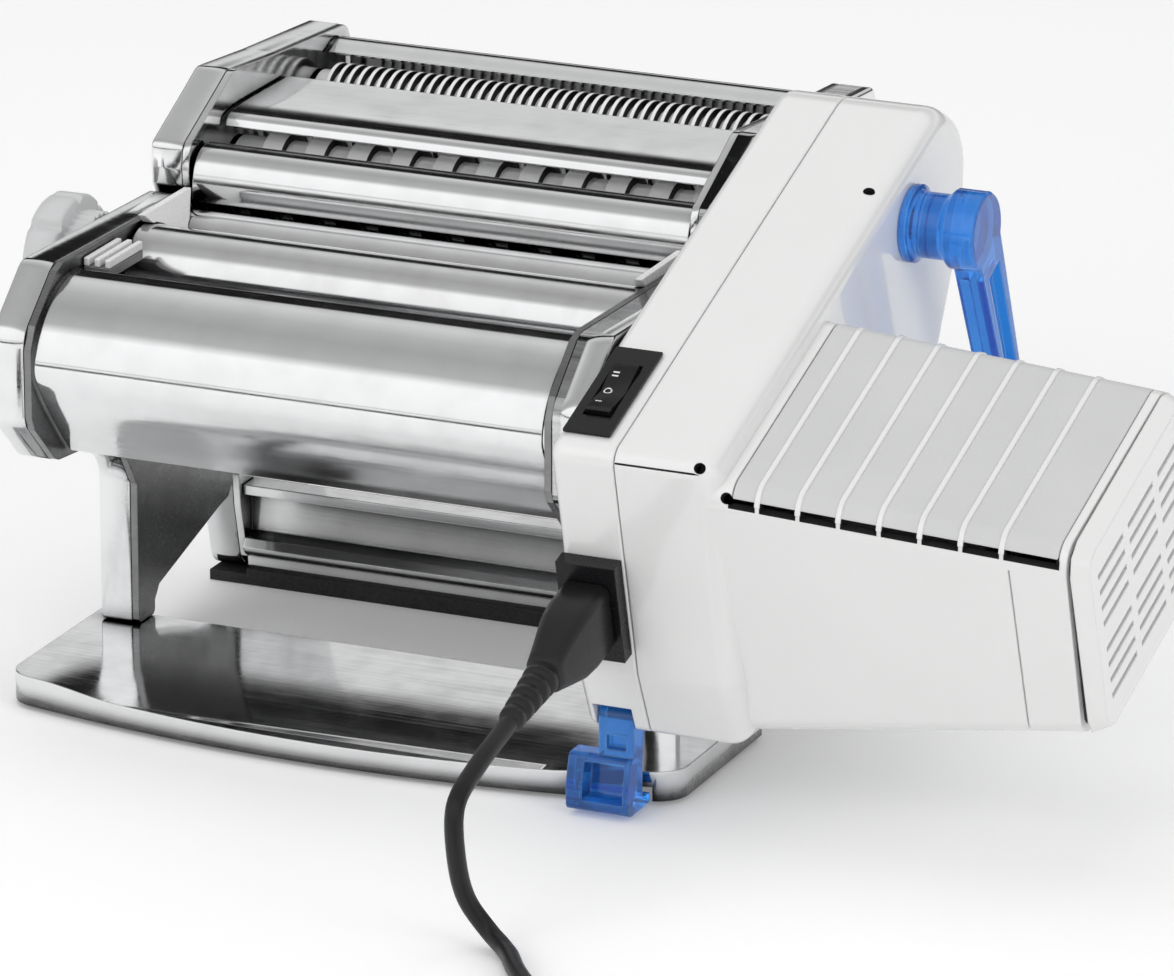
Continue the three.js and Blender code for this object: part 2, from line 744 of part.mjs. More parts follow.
// Cutter covers: three chromed sheets with a feed slot in front of and behind the middle one.
function addCutterCovers() {
  const ends = [coverEndGap, workWidth - coverEndGap];
  const fromAxis = (axis, [y, z]) => [axis.y + y * cutterOuter, axis.z + z * cutterOuter];
  const lineFrom = (axis, shares) => shares.map((share) => fromAxis(axis, share));
  const front = lineFrom(wideFront, [
    [-1.13, 0.15],
    [-1.1, 0.6],
    [-0.76, 0.98],
    [-0.14, 1.1],
  ]);
  const middle = [
    ...lineFrom(wideRear, [
      [-1.01, 1.07],
      [-0.87, 1.44],
      [-0.49, 1.58],
    ]),
    ...lineFrom(fineFront, [[-0.32, 1.12]]),
  ];
  const rear = lineFrom(fineRear, [
    [0.42, 1.14],
    [1.17, 1.36],
    [1.7, 1.04],
    [1.8, -0.47],
  ]);
  for (const [name, line] of [
    ["cutter_front_cover", front],
    ["cutter_middle_cover", middle],
    ["cutter_rear_cover", rear],
  ]) {
    piece(name, alongX(sheetOutline(line, coverSheet), ...ends), chrome);
  }
}

addCutterCovers();

// Cutter rollers: discs and grooves turned on one shaft, a pair half a pitch apart so its discs interleave.
const cutterTeeth = 10;
const cutterPitch = cutterSpacing / 2;
const cutterAddendum = 1.3;
const cutterDedendum = 1.6;
const discSideGap = 0.3;
const discsStart = 3.9;
const bayGear = [rightBay + 2 * seat + layerGap, rightCheekFace - shellSheet - 2 * seat - layerGap];
const transferTeeth = 10;
const transferPitch = Math.hypot(wideFront.y - rearAxis.y, wideFront.z - rearAxis.z) / 2;
const transferAddendum = 1.5;
const transferDedendum = 1.9;
const transferPhase = 0;

function cutterProfile(pitch, discs, offset, rightEnd) {
  const discWidth = pitch / 2 - discSideGap;
  const profile = [
    [shaftLeft, 0],
    [shaftLeft, cutterShaft],
    [rollerLeft, cutterShaft],
    [rollerLeft, cutterCore],
  ];
  for (let i = 0; i < discs; i++) {
    const x = discsStart + offset + i * pitch;
    profile.push([x, cutterCore], [x, cutterOuter]);
    profile.push([x + discWidth, cutterOuter], [x + discWidth, cutterCore]);
  }
  profile.push([rollerRight, cutterCore], [rollerRight, cutterShaft], [rightEnd, cutterShaft], [rightEnd, 0]);
  return profile;
}

const cutterGear = (phase, ends, centre) =>
  gear(cutterTeeth, cutterPitch, cutterAddendum, cutterDedendum, phase, ...ends, centre);

function addCutterRollers() {
  const wideSides = 12;
  const fineSides = 8;
  const shaftEnd = layerThree + layerThick;
  const bayEnd = bayGear[1];
  const layerTwoEnds = [layerTwo, layerTwo + layerThick];
  const layerThreeEnds = [layerThree, layerThree + layerThick];

  const wheelPhase = meshPhase(transferPhase, transferTeeth, rearAxis, transferTeeth, wideFront);
  const wheel = gear(
    transferTeeth,
    transferPitch,
    transferAddendum,
    transferDedendum,
    wheelPhase,
    ...layerTwoEnds,
    wideFront,
  );
  const pairPhase = 0;
  const pairNext = meshPhase(pairPhase, cutterTeeth, wideFront, cutterTeeth, wideRear);
  const wideFrontSolid = joined([
    turned(cutterProfile(widePitch, wideDiscs, 0, shaftEnd), wideSides, wideFront),
    wheel,
    cutterGear(pairPhase, layerThreeEnds, wideFront),
  ]);
  const chainPhase = pairNext;
  const wideRearSolid = joined([
    turned(cutterProfile(widePitch, wideDiscs, widePitch / 2, shaftEnd), wideSides, wideRear),
    cutterGear(chainPhase, bayGear, wideRear),
    cutterGear(pairNext, layerThreeEnds, wideRear),
  ]);
  piece("wide_cutter_front", wideFrontSolid, steel);
  piece("wide_cutter_rear", wideRearSolid, steel);

  const chain = [wideRear, ...idlerCentres, fineFront, fineRear];
  const phases = [chainPhase];
  for (let i = 1; i < chain.length; i++) {
    phases.push(meshPhase(phases[i - 1], cutterTeeth, chain[i - 1], cutterTeeth, chain[i]));
  }
  ["idler_gear_front", "idler_gear_rear"].forEach((name, i) => {
    const stub = rod(idlerCentres[i], idlerShaft, rightPlate + seat, bayEnd, boreSides);
    piece(name, stub.add(cutterGear(phases[i + 1], bayGear, idlerCentres[i])), darkSteel);
  });
  for (const [name, centre, offset, phase] of [
    ["fine_cutter_front", fineFront, 0, phases[3]],
    ["fine_cutter_rear", fineRear, finePitch / 2, phases[4]],
  ]) {
    const rollerSolid = turned(cutterProfile(finePitch, fineDiscs, offset, bayEnd), fineSides, centre);
    piece(name, rollerSolid.add(cutterGear(phase, bayGear, centre)), steel);
  }
}

addCutterRollers();

// Combs: a bar under each cutter roller with a tooth in every groove, the two bars joined at their ends.
function comb(name, nipY, axisHeight, pitch, discs, toothWidth) {
  const barSize = 5;
  const barGap = 8;
  const toothClear = 0.45;
  const toothDrop = 0.85;
  const barTop = axisHeight - cutterOuter - toothClear - barSize / 4;
  const grooveWidth = pitch / 2 + discSideGap;
  const discWidth = pitch / 2 - discSideGap;
  const endLink = 2.4;
  const solids = [];
  const near = nipY - barGap / 2;
  const far = nipY + barGap / 2;
  for (const [side, edge, offset] of [
    [-1, near, 0],
    [1, far, pitch / 2],
  ]) {
    const axis = nipY + (side * cutterSpacing) / 2;
    const outer = edge + side * barSize;
    const ys = [edge, outer].sort((a, b) => a - b);
    solids.push(block([seat, ys[0], barTop - barSize], [workWidth - seat, ys[1], barTop]));
    const reach = cutterCore + toothDrop;
    const heightAt = (y) => axisHeight - Math.sqrt(reach ** 2 - (y - axis) ** 2);
    const tooth = [
      [edge, barTop - barSize / 2],
      [edge, heightAt(edge)],
      [outer, heightAt(outer)],
      [outer, barTop - barSize / 2],
    ].map(([y, z]) => new THREE.Vector2(y, z));
    for (let i = 0; i < discs; i++) {
      const groove = discsStart + offset + i * pitch + discWidth + grooveWidth / 2;
      if (groove + toothWidth > rollerRight) continue;
      solids.push(alongX(tooth, groove - toothWidth / 2, groove + toothWidth / 2));
    }
  }
  for (const x of [seat, workWidth - seat - endLink]) {
    const low = [x, near - barSize / 2, barTop - barSize];
    solids.push(block(low, [x + endLink, far + barSize / 2, barTop]));
  }
  piece(name, joined(solids), steel);
}

const wideTooth = 4;
const fineTooth = 1.4;
comb("wide_comb", wideNipY, wideAxisZ, widePitch, wideDiscs, wideTooth);
comb("fine_comb", fineNipY, fineAxisZ, finePitch, fineDiscs, fineTooth);

// Rear foot rail: a rolled channel between the cutter plates, over a notched rubber strip.
function addRearFoot() {
  const railTop = 29.5;
  const railFront = 66;
  const railDepth = 8;
  const railLift = 2.3;
  const railBottom = rearFootHeight + railLift;
  const railShares = [
    [1, 1],
    [0.12, 1],
    [0.12, 0.92],
    [0.8, 0.87],
    [0.8, 0.39],
    [0.16, 0.34],
    [0, 0.26],
    [0.16, 0.18],
    [0.4, 0.13],
    [0.4, 0],
  ];
  const corners = fromShares(railShares, railFront, railBottom, railDepth, railTop - railBottom);
  piece("rear_foot_rail", alongX(sheetOutline(corners, coverSheet), seat, workWidth - seat), steel);

  const stripDepth = 16;
  const stripEnd = 1;
  const innerRise = 1.6;
  const stripSetBack = 1;
  const stripFront = railFront + stripSetBack;
  const strip = block(
    [-cheekWidth + stripEnd, stripFront, 0],
    [rightCheekFace - stripEnd, stripFront + stripDepth, rearFootHeight],
  );
  const inner = block(
    [2 * seat, stripFront, rearFootHeight / 2],
    [workWidth - 2 * seat, stripFront + stripDepth / 2, rearFootHeight + innerRise],
  );
  piece("rear_foot_strip", strip.add(inner), rubber);
}

addRearFoot();

// Drive housing: two plastic shells on one tall outline; the right one also carries the tilted motor box.
const housingShares = [
  [0, 0.605, 0.036],
  [0.883, 1, 0.114],
  [1, 0.925, 0.128],
  [0.994, 0.733, 0.085],
  [0.827, 0.335, 0.178],
  [0.592, 0.078, 0.142],
  [0.38, 0, 0.071],
  [0.145, 0, 0.021],
  [0.095, 0.135, 0.021],
];
const housingCorners = fromShares(housingShares, -housingFront, housingBottom, housingDepth, housingHeight);

// A rectangle turned by the motor's tilt about a section's centre, with rounded lower and upper corners.
function tilted(section, across, up, lowRadius, highRadius) {
  const flat = [
    [across[0], up[0], lowRadius],
    [across[1], up[0], lowRadius],
    [across[1], up[1], highRadius],
    [across[0], up[1], highRadius],
  ];
  const centre = new THREE.Vector2(section.y, section.z);
  return rounded(flat).map((point) => point.rotateAround(new THREE.Vector2(), motorTilt).add(centre));
}

// The motor box's section at a place along its length, from its near end to its far end.
function motorSection(x) {
  const share = (x - motorX) / motorLength;
  const mix = (key) => motorNear[key] + share * (motorFar[key] - motorNear[key]);
  return { y: mix("y"), z: mix("z"), depth: mix("depth"), height: mix("height") };
}

// The whole section, made smaller all round.
function wholeSection(section, smaller) {
  const across = section.depth / 2 - smaller;
  const up = section.height / 2 - smaller;
  return tilted(section, [-across, across], [-up, up], motorCorner - smaller, motorCorner - smaller);
}

// A band of the section measured from its top edge, as wide as the section and a margin.
function topBand(section, wider, down, above) {
  const across = section.depth / 2 + wider;
  const top = section.height / 2;
  return tilted(section, [-across, across], [top - down, top + above], 0, 0);
}

// A solid between two outlines with as many points each, at two places along X.
function loft(near, nearX, far, farX) {
  const count = near.length;
  const points = [];
  near.forEach((p) => points.push(nearX, p.x, p.y));
  far.forEach((p) => points.push(farX, p.x, p.y));
  const index = [];
  for (let i = 0; i < count; i++) {
    const j = (i + 1) % count;
    index.push(i, j, count + j, i, count + j, count + i);
  }
  THREE.ShapeUtils.triangulateShape(near, []).forEach(([a, b, c]) => {
    index.push(a, c, b);
    index.push(count + a, count + b, count + c);
  });
  const geometry = new THREE.BufferGeometry();
  geometry.setAttribute("position", new THREE.Float32BufferAttribute(points, 3));
  geometry.setIndex(index);
  return solidOf(geometry);
}

function motorBox(from, to, smaller) {
  const near = wholeSection(motorSection(from), smaller);
  return loft(near, from, wholeSection(motorSection(to), smaller), to);
}

function motorBand(from, to, wider, down, above) {
  const near = topBand(motorSection(from), wider, down, above);
  return loft(near, from, topBand(motorSection(to), wider, down, above), to);
}

// An outline drawn along and out from a sloping face, brought to its place in Y and Z.
const laidOn = (foot, angle, outline) =>
  outline.map(([along, out]) =>
    new THREE.Vector2(along, out).rotateAround(new THREE.Vector2(), angle).add(foot),
  );

const rectangle = (along, out) => [
  [along[0], out[0]],
  [along[1], out[0]],
  [along[1], out[1]],
  [along[0], out[1]],
];

// Blocks on the housing's front slope are measured up from its nose, and on its front face from its foot.
const nose = new THREE.Vector2(housingCorners[0][0], housingCorners[0][1]);
const slopeTop = new THREE.Vector2(housingCorners[1][0], housingCorners[1][1]);
const slopeAngle = slopeTop.sub(nose).angle();
const faceFoot = new THREE.Vector2(housingCorners.at(-1)[0], housingCorners.at(-1)[1]);
const faceAngle = nose.clone().sub(faceFoot).angle();
const onSlope = (x, along, out) => alongX(laidOn(nose, slopeAngle, rectangle(along, out)), ...x);
const onFace = (x, along, out) => alongX(laidOn(faceFoot, faceAngle, rectangle(along, out)), ...x);

// Switch, rocker, inlet, lever, latch and cover sizes.
const switchInset = 1.8;
const switchLeft = housingX + switchInset;
const switchWidth = 13.2;
const switchFoot = 6.5;
const switchLength = 37;
const switchAbove = 1.2;
const switchDepth = 9;
const switchRim = 1;
const rockerWidth = 7;
const rockerLength = 21;
const rockerRoom = 1;
const rockerPivotDepth = 1;
const inletInset = 0.7;
const inletLeft = housingX + inletInset;
const inletWidth = 16.8;
const inletFoot = 7;
const inletLength = 29;
const inletAbove = 5;
const inletDepth = 8;
const inletRim = 3;
const leverAxis = { y: 47, z: 138.5 };
const leverStem = 3;
const latchPivot = { y: -58.5, z: 27 };
const latchTongue = 10;
const latchEye = 4;
const coverThick = 3;
const coverMargin = 3;
const coverNear = motorX + coverMargin;
const coverFar = motorEndX - coverMargin;
const ribCount = 7;
const ribPitch = 10.7;
const ribInset = 5.9;
const ribStart = coverNear + ribInset;
const ribWidth = 1.5;
const ribHeight = 0.7;

// Drive train: two steps down from the rotor to the rear roller's axis.
const motorAxis = { y: -30, z: 79 };
const bigTeeth = 28;
const smallTeeth = 7;
const stageSpacing = 34.1;
const bigPitch = (stageSpacing * bigTeeth) / (bigTeeth + smallTeeth);
const smallPitch = stageSpacing - bigPitch;
const stageAddendum = 1.4;
const stageDedendum = 1.9;
function axisBetween() {
  const line = new THREE.Vector2(motorAxis.y - rearAxis.y, motorAxis.z - rearAxis.z);
  const bow = Math.sqrt(stageSpacing ** 2 - (line.length() / 2) ** 2);
  const aside = line.clone().normalize().rotateAround(new THREE.Vector2(), Math.PI / 2);
  const at = line.multiplyScalar(1 / 2).add(aside.multiplyScalar(bow));
  return { y: rearAxis.y + at.x, z: rearAxis.z + at.y };
}

const middleAxis = axisBetween();
const stageOne = [seamX + layerGap + seat, seamX + layerGap + seat + layerThick];
const stageTwo = stageOne.map((x) => x + layerThick + layerGap);
const gearPlateX = stageTwo[1] + 2 * layerGap;
const stemRadius = 3;
const bossRadius = 6;
const bossEnd = layerOne + layerThick / 2;

const housingArcs = 3;
const housingOutline = rounded(housingCorners, housingArcs);
const housingHollow = rounded(inset(housingCorners, housingWall), housingArcs);

function addLeftHousing() {
  const wallEnd = housingX + housingWall;
  const leftWall = [housingX - overrun, wallEnd + overrun];
  const shafts = [
    rod(rearAxis, rollerShaft + shaftClearance, ...leftWall),
    slideSlot(rollerShaft + shaftClearance, ...leftWall),
    rod(wideFront, cutterShaft + shaftClearance, ...leftWall, boreSides),
    rod(wideRear, cutterShaft + shaftClearance, ...leftWall, boreSides),
  ];
  const switchHole = onSlope(
    [switchLeft + switchRim, switchLeft + switchWidth - switchRim],
    [switchFoot + switchRim, switchFoot + switchLength - switchRim],
    [-housingWall - overrun, overrun],
  );
  const inletHole = onFace(
    [inletLeft + inletRim - seat, inletLeft + inletWidth - inletRim + seat],
    [inletFoot + inletRim - seat, inletFoot + inletLength - inletRim + seat],
    [-housingWall - overrun, overrun],
  );
  const tongueRoom = 2 * seat;
  const latchPocket = block(
    [
      latchLeft + latchWidth - latchTongue - tongueRoom,
      latchPivot.y - 2 * latchTongue,
      housingBottom - overrun,
    ],
    [
      latchLeft + latchWidth + tongueRoom,
      latchPivot.y + latchTongue,
      latchPivot.z + latchEye + 2 * tongueRoom,
    ],
  );
  const room = alongX(housingHollow, wallEnd, seamX + overrun);
  const shell = alongX(housingOutline, housingX, seamX).subtract(room);
  const boss = rod(middleAxis, bossRadius, wallEnd - seat, bossEnd);
  const bossBore = rod(middleAxis, stemRadius + runGap, wallEnd + seat, bossEnd + overrun);
  const leftCuts = [...shafts, switchHole, inletHole, latchPocket, bossBore];
  piece("housing_left_shell", cutFrom(shell.add(boss), leftCuts), whitePlastic);
}

addLeftHousing();

// Vent slots in the motor box's front, one under each bay of the ribbed panel.
function ventSlots() {
  const ventDrop = 5.2;
  const ventHeight = 2;
  const front = motorBand(coverNear, coverFar, overrun, motorNear.height, overrun).translate([
    0,
    -motorFar.depth / 2,
    0,
  ]);
  const vents = [];
  for (let i = 0; i <= ribCount; i++) {
    const from = i === 0 ? coverNear : ribStart + (i - 1) * ribPitch + ribWidth + ribHeight;
    const to = i === ribCount ? coverFar : ribStart + i * ribPitch - ribHeight;
    const slot = motorBand(from + ribHeight, to - ribHeight, overrun, ventDrop + ventHeight, -ventDrop);
    vents.push(slot.intersect(front));
  }
  return vents;
}

function addRightHousing() {
  const tall = alongX(housingOutline, seamX + seat, motorX);
  const tallHollow = alongX(housingHollow, seamX - overrun, motorX - housingWall);
  const box = motorBox(motorX - housingWall / 2, motorEndX, 0);
  const boxHollow = motorBox(motorX - 2 * housingWall, motorEndX + overrun, housingWall);
  const lidRoom = motorBand(coverNear - seat, coverFar + seat, overrun, coverThick, overrun);
  const leverHole = rod(leverAxis, leverStem + runGap, motorX - 2 * housingWall, motorX + overrun, boreSides);
  const rightCuts = [tallHollow, boxHollow, lidRoom, leverHole, ...ventSlots()];
  piece("housing_right_shell", cutFrom(tall.add(box), rightCuts), whitePlastic);
}

addRightHousing();

// Ribbed top panel of the motor box.
function addMotorPanel() {
  const lidBody = motorBox(coverNear, coverFar, -seat);
  const lid = lidBody.intersect(motorBand(coverNear, coverFar, overrun, coverThick - seat, overrun));
  const ribs = [];
  for (let i = 0; i < ribCount; i++) {
    const x = ribStart + i * ribPitch;
    ribs.push(motorBand(x, x + ribWidth, -motorCorner, coverThick / 2, seat + ribHeight));
  }
  piece("motor_top_cover", joined([lid, ...ribs]), whitePlastic);
}

addMotorPanel();

// End cap: a bevelled lid with a grille of slots in three columns and two rows.
function addEndCap() {
  const end = motorSection(motorEndX);
  const capX = [motorEndX + seat, motorEndX + seat + endCapDepth];
  const cap = loft(wholeSection(end, 0), capX[0], wholeSection(end, endCapDepth / 2), capX[1]);
  const inner = wholeSection(end, 2 * housingWall);
  const pocket = loft(inner, capX[0] - overrun, inner, capX[1] - housingWall);
  const columns = 3;
  const rows = 2;
  const slotsEach = 4;
  const slotWidth = 1.6;
  const slotPitch = 5;
  const lengthShare = 0.24;
  const pitchShare = 0.29;
  const slotLength = lengthShare * end.depth;
  const columnPitch = pitchShare * end.depth;
  const slots = [];
  for (let column = 0; column < columns; column++) {
    for (let slot = 0; slot < rows * slotsEach; slot++) {
      const across = (column - (columns - 1) / 2) * columnPitch;
      const lower = slot < slotsEach;
      const order = slot - (rows * slotsEach - 1) / 2;
      const up = order * slotPitch + (lower ? -slotWidth : slotWidth);
      const hole = tilted(
        end,
        [across - slotLength / 2, across + slotLength / 2],
        [up - slotWidth / 2, up + slotWidth / 2],
        0,
        0,
      );
      slots.push(alongX(hole, capX[0] - overrun, capX[1] + overrun));
    }
  }
  piece("end_cap", cutFrom(cap, [pocket, ...slots]), whitePlastic);
}

addEndCap();

// Switch: a black frame let into the slope, with a three-position rocker in its well.
function addSwitch() {
  const switchEnds = [switchLeft, switchLeft + switchWidth];
  const along = [switchFoot, switchFoot + switchLength];
  const margin = switchRim + seat;
  const middle = switchFoot + switchLength / 2;
  const rockerX = [
    switchLeft + (switchWidth - rockerWidth) / 2,
    switchLeft + (switchWidth + rockerWidth) / 2,
  ];
  const frame = onSlope(switchEnds, along, [seat, switchAbove]);
  const body = onSlope(
    [switchEnds[0] + margin, switchEnds[1] - margin],
    [along[0] + margin, along[1] - margin],
    [-switchDepth, switchAbove],
  );
  const well = onSlope(
    [rockerX[0] - rockerRoom / 2, rockerX[1] + rockerRoom / 2],
    [middle - rockerLength / 2 - rockerRoom, middle + rockerLength / 2 + rockerRoom],
    [-switchDepth + switchAbove, switchAbove + overrun],
  );
  piece("switch_bezel", frame.add(body).subtract(well), blackPlastic);

  const half = rockerLength / 2;
  const raise = 2.4;
  const dish = 0.6;
  const edge = 2;
  const keel = 5;
  const profile = [
    [middle - half, raise],
    [middle - half + edge, raise],
    [middle, dish],
    [middle + half - edge, raise],
    [middle + half, raise],
    [middle + half - edge / 2, -edge],
    [middle, -keel],
    [middle - half + edge / 2, -edge],
  ];
  piece("switch_rocker", alongX(laidOn(nose, slopeAngle, profile), ...rockerX), blackPlastic);
}

addSwitch();

// Power inlet on the front face, and the lead's connector that plugs into it.
const faceOut = new THREE.Vector3(0, -Math.sin(faceAngle), Math.cos(faceAngle));
const faceUp = new THREE.Vector3(0, Math.cos(faceAngle), Math.sin(faceAngle));
const inletMiddle = new THREE.Vector3(inletLeft + inletWidth / 2, faceFoot.x, faceFoot.y).addScaledVector(
  faceUp,
  inletFoot + inletLength / 2,
);

// A solid drawn along X, with Y and Z across it, laid along a direction from a point.
function laidAlong(solid, along, second, third, origin) {
  const place = new THREE.Matrix4().makeBasis(along, second, third).setPosition(origin);
  return solid.transform(place.toArray());
}

// A rounded rectangle by its half sizes, centred on nothing.
const roundedHalf = (half, radius) =>
  rounded([
    [-half[0], -half[1], radius],
    [half[0], -half[1], radius],
    [half[0], half[1], radius],
    [-half[0], half[1], radius],
  ]);

const connectorLength = 58;

function addInlet() {
  const socketHalf = [4, 8];
  const socketDepth = 5;
  const bodyHalf = [inletWidth / 2 - inletRim, inletLength / 2 - inletRim];
  const inletX = [inletLeft, inletLeft + inletWidth];
  const flange = onFace(inletX, [inletFoot, inletFoot + inletLength], [seat, inletAbove]);
  const body = onFace(
    [inletX[0] + inletRim, inletX[1] - inletRim],
    [inletFoot + inletRim, inletFoot + inletLength - inletRim],
    [-inletDepth, inletAbove],
  );
  const middleAlong = inletFoot + inletLength / 2;
  const socket = onFace(
    [inletMiddle.x - socketHalf[0], inletMiddle.x + socketHalf[0]],
    [middleAlong - socketHalf[1], middleAlong + socketHalf[1]],
    [-socketDepth, inletAbove + overrun],
  );
  piece("power_inlet", flange.add(body).subtract(socket), blackPlastic);

  const grip = [6.4, 9.6];
  const neck = [4.6, 5.6];
  const gripRound = 2.5;
  const start = inletAbove + seat;
  const gripShare = 0.5;
  const neckShare = 0.7;
  const tongueRound = 1;
  const gripEnd = start + gripShare * (connectorLength - start);
  const neckEnd = start + neckShare * (connectorLength - start);
  const tongueHalf = socketHalf.map((value) => value - seat - runGap / 2);
  const tongueEnd = roundedHalf(tongueHalf, tongueRound);
  const tongue = loft(tongueEnd, seat - socketDepth, tongueEnd, start + seat);
  const handle = loft(roundedHalf(grip, gripRound), start, roundedHalf(grip, gripRound), gripEnd);
  const taper = loft(roundedHalf(grip, gripRound), gripEnd, roundedHalf(neck, gripRound), neckEnd);
  const reliefRadius = 3.5;
  const ringRadius = 4.4;
  const rings = 3;
  const ringPitch = (connectorLength - neckEnd) / rings;
  const relief = rod({ y: 0, z: 0 }, reliefRadius, neckEnd - seat, connectorLength, leadSides);
  const ringSolids = [];
  for (let i = 0; i < rings; i++) {
    const from = neckEnd + i * ringPitch + ringPitch / 4;
    ringSolids.push(rod({ y: 0, z: 0 }, ringRadius, from, from + ringPitch / 2, leadSides));
  }
  const connector = joined([tongue, handle, taper, relief, ...ringSolids]);
  piece("connector", laidAlong(connector, faceOut, axisX, faceUp, inletMiddle), blackPlastic);
}

addInlet();

// A round tube along a line of points, its rings carried along without twist.
function tube(points, radius, sides) {
  const vertices = [];
  const index = [];
  const normal = new THREE.Vector3(1, 0, 0);
  const first = points[1].clone().sub(points[0]).normalize();
  if (Math.abs(first.dot(normal)) > 1 / 2) normal.set(0, 1, 0);
  points.forEach((here, i) => {
    const before = points[Math.max(i - 1, 0)];
    const after = points[Math.min(i + 1, points.length - 1)];
    const tangent = after.clone().sub(before).normalize();
    normal.addScaledVector(tangent, -normal.dot(tangent)).normalize();
    const across = tangent.clone().cross(normal);
    for (let k = 0; k < sides; k++) {
      const angle = ((k + 1 / 2) * 2 * Math.PI) / sides;
      const at = here.clone();
      at.addScaledVector(normal, radius * Math.cos(angle)).addScaledVector(across, radius * Math.sin(angle));
      vertices.push(...at.toArray());
    }
  });
  const last = (points.length - 1) * sides;
  for (let i = 0; i < points.length - 1; i++) {
    for (let k = 0; k < sides; k++) {
      const a = i * sides + k;
      const b = i * sides + ((k + 1) % sides);
      index.push(a, b, b + sides, a, b + sides, a + sides);
    }
  }
  for (let k = 1; k < sides - 1; k++) {
    index.push(0, k + 1, k);
    index.push(last, last + k, last + k + 1);
  }
  const geometry = new THREE.BufferGeometry();
  geometry.setAttribute("position", new THREE.Float32BufferAttribute(vertices, 3));
  geometry.setIndex(index);
  return solidOf(geometry);
}

// Power lead: it hangs from the connector, runs over the table and ends in a coil of two layers with a plug.
const lieHeight = cordDiameter / 2;
const coilEntryX = 256;
const coilEntryY = -247.4;
const entry = new THREE.Vector3(coilEntryX, coilEntryY, lieHeight);
const headingAngle = THREE.MathUtils.degToRad(-47.92);
const heading = new THREE.Vector3(Math.cos(headingAngle), Math.sin(headingAngle), 0);
const side = new THREE.Vector3(heading.y, -heading.x, 0);
const loopSteps = 24;
const loopsDown = 3;
const loopsUp = 3;
const coilStart = entry.clone().addScaledVector(heading, -cordDiameter);

// The coil's middle line: three turns inwards on the table, one turn up and out, three turns outwards.
function coilLine() {
  const outer = coilMiddle + (loopsDown * coilPitch) / 2;
  const centre = entry.clone().addScaledVector(side, outer);
  const startAngle = Math.atan2(entry.y - centre.y, entry.x - centre.x);
  const coil = [];
  const climbFrom = loopsDown * loopSteps;
  const climbTo = climbFrom + loopSteps / 2;
  const spreadTo = climbTo + loopSteps / 2;
  const end = spreadTo + loopsUp * loopSteps;
  for (let i = 0; i <= end; i++) {
    const turns = i / loopSteps;
    const climb = THREE.MathUtils.smoothstep(i, climbFrom, climbTo);
    let radius = outer - coilPitch * Math.min(turns, climbTo / loopSteps);
    if (i > climbTo) radius += (coilPitch * (Math.min(i, spreadTo) - climbTo)) / (loopSteps / 2);
    if (i > spreadTo) radius += (coilPitch * (i - spreadTo)) / loopSteps;
    const angle = startAngle - turns * 2 * Math.PI;
    coil.push(
      new THREE.Vector3(
        centre.x + radius * Math.cos(angle),
        centre.y + radius * Math.sin(angle),
        lieHeight + coilPitch * climb,
      ),
    );
  }
  return coil;
}

const coil = coilLine();
const tailTurns = [1, 4, 7]; // in cord diameters past the last turn
const tail = tailTurns.map((step) => coil.at(-1).clone().addScaledVector(heading, step * cordDiameter));
const coilSides = 6;
piece("cord_coil", tube([coilStart, ...coil, ...tail], cordDiameter / 2, coilSides), blackPlastic);

let least = Infinity;
for (let i = 0; i < coil.length; i++) {
  for (let j = i + loopSteps / 2; j < coil.length; j++) {
    least = Math.min(least, coil[i].distanceTo(coil[j]) - cordDiameter);
  }
}
console.log(`cord_coil least gap to itself ${least.toFixed(2)} mm`);

// The lead from the connector down to the table and on to the coil.
function addLead() {
  const leadFrom = inletMiddle.clone().addScaledVector(faceOut, connectorLength + seat);
  const leadEnd = coilStart.clone().addScaledVector(heading, -seat);
  const hangLine = [
    [0, -33, 39],
    [0.5, -34.5, 28],
    [2, -31.5, 14],
    [7, -29, 5],
    [14, -34, lieHeight],
    [24, -48, lieHeight],
    [46, -73, lieHeight],
  ];
  const hang = hangLine.map(([x, y, z]) => new THREE.Vector3(leadFrom.x + x, leadFrom.y + y, z));
  const guide = [
    leadFrom,
    leadFrom.clone().addScaledVector(faceOut, cordDiameter),
    leadFrom.clone().addScaledVector(faceOut, 4 * cordDiameter),
    ...hang,
    leadEnd.clone().addScaledVector(heading, -cordDiameter),
    leadEnd,
  ];
  const curve = new THREE.CatmullRomCurve3(guide, false, "centripetal");
  const leadSteps = 22;
  const lead = curve.getSpacedPoints(leadSteps);
  lead.forEach((point) => {
    point.z = Math.max(point.z, lieHeight);
  });
  const lineSides = 8;
  piece("cord_lead", tube(lead, cordDiameter / 2, lineSides), blackPlastic);
}

addLead();

// Flat mains plug with two round pins.
function addPlug() {
  const plugHalf = [17, lieHeight + coilPitch - seat];
  const rearHalf = [6, 5];
  const plugRound = 4;
  const rearRound = 2;
  const reliefLength = 9;
  const reliefRadius = 3.8;
  const slopeLength = 12;
  const plugLength = 34;
  const pinLength = 19;
  const pinRadius = 2;
  const pinHalf = 9.5;
  const plug = joined([
    rod({ y: 0, z: 0 }, reliefRadius, seat, reliefLength + overrun, leadSides),
    loft(
      roundedHalf(rearHalf, rearRound),
      reliefLength,
      roundedHalf(plugHalf, plugRound),
      reliefLength + slopeLength,
    ),
    loft(
      roundedHalf(plugHalf, plugRound),
      reliefLength + slopeLength,
      roundedHalf(plugHalf, plugRound),
      plugLength,
    ),
    rod({ y: -pinHalf, z: 0 }, pinRadius, plugLength - overrun, plugLength + pinLength, leadSides),
    rod({ y: pinHalf, z: 0 }, pinRadius, plugLength - overrun, plugLength + pinLength, leadSides),
  ]);
  const left = side.clone().negate();
  piece("mains_plug", laidAlong(plug, heading, left, axisZ, tail.at(-1)), blackPlastic);
}

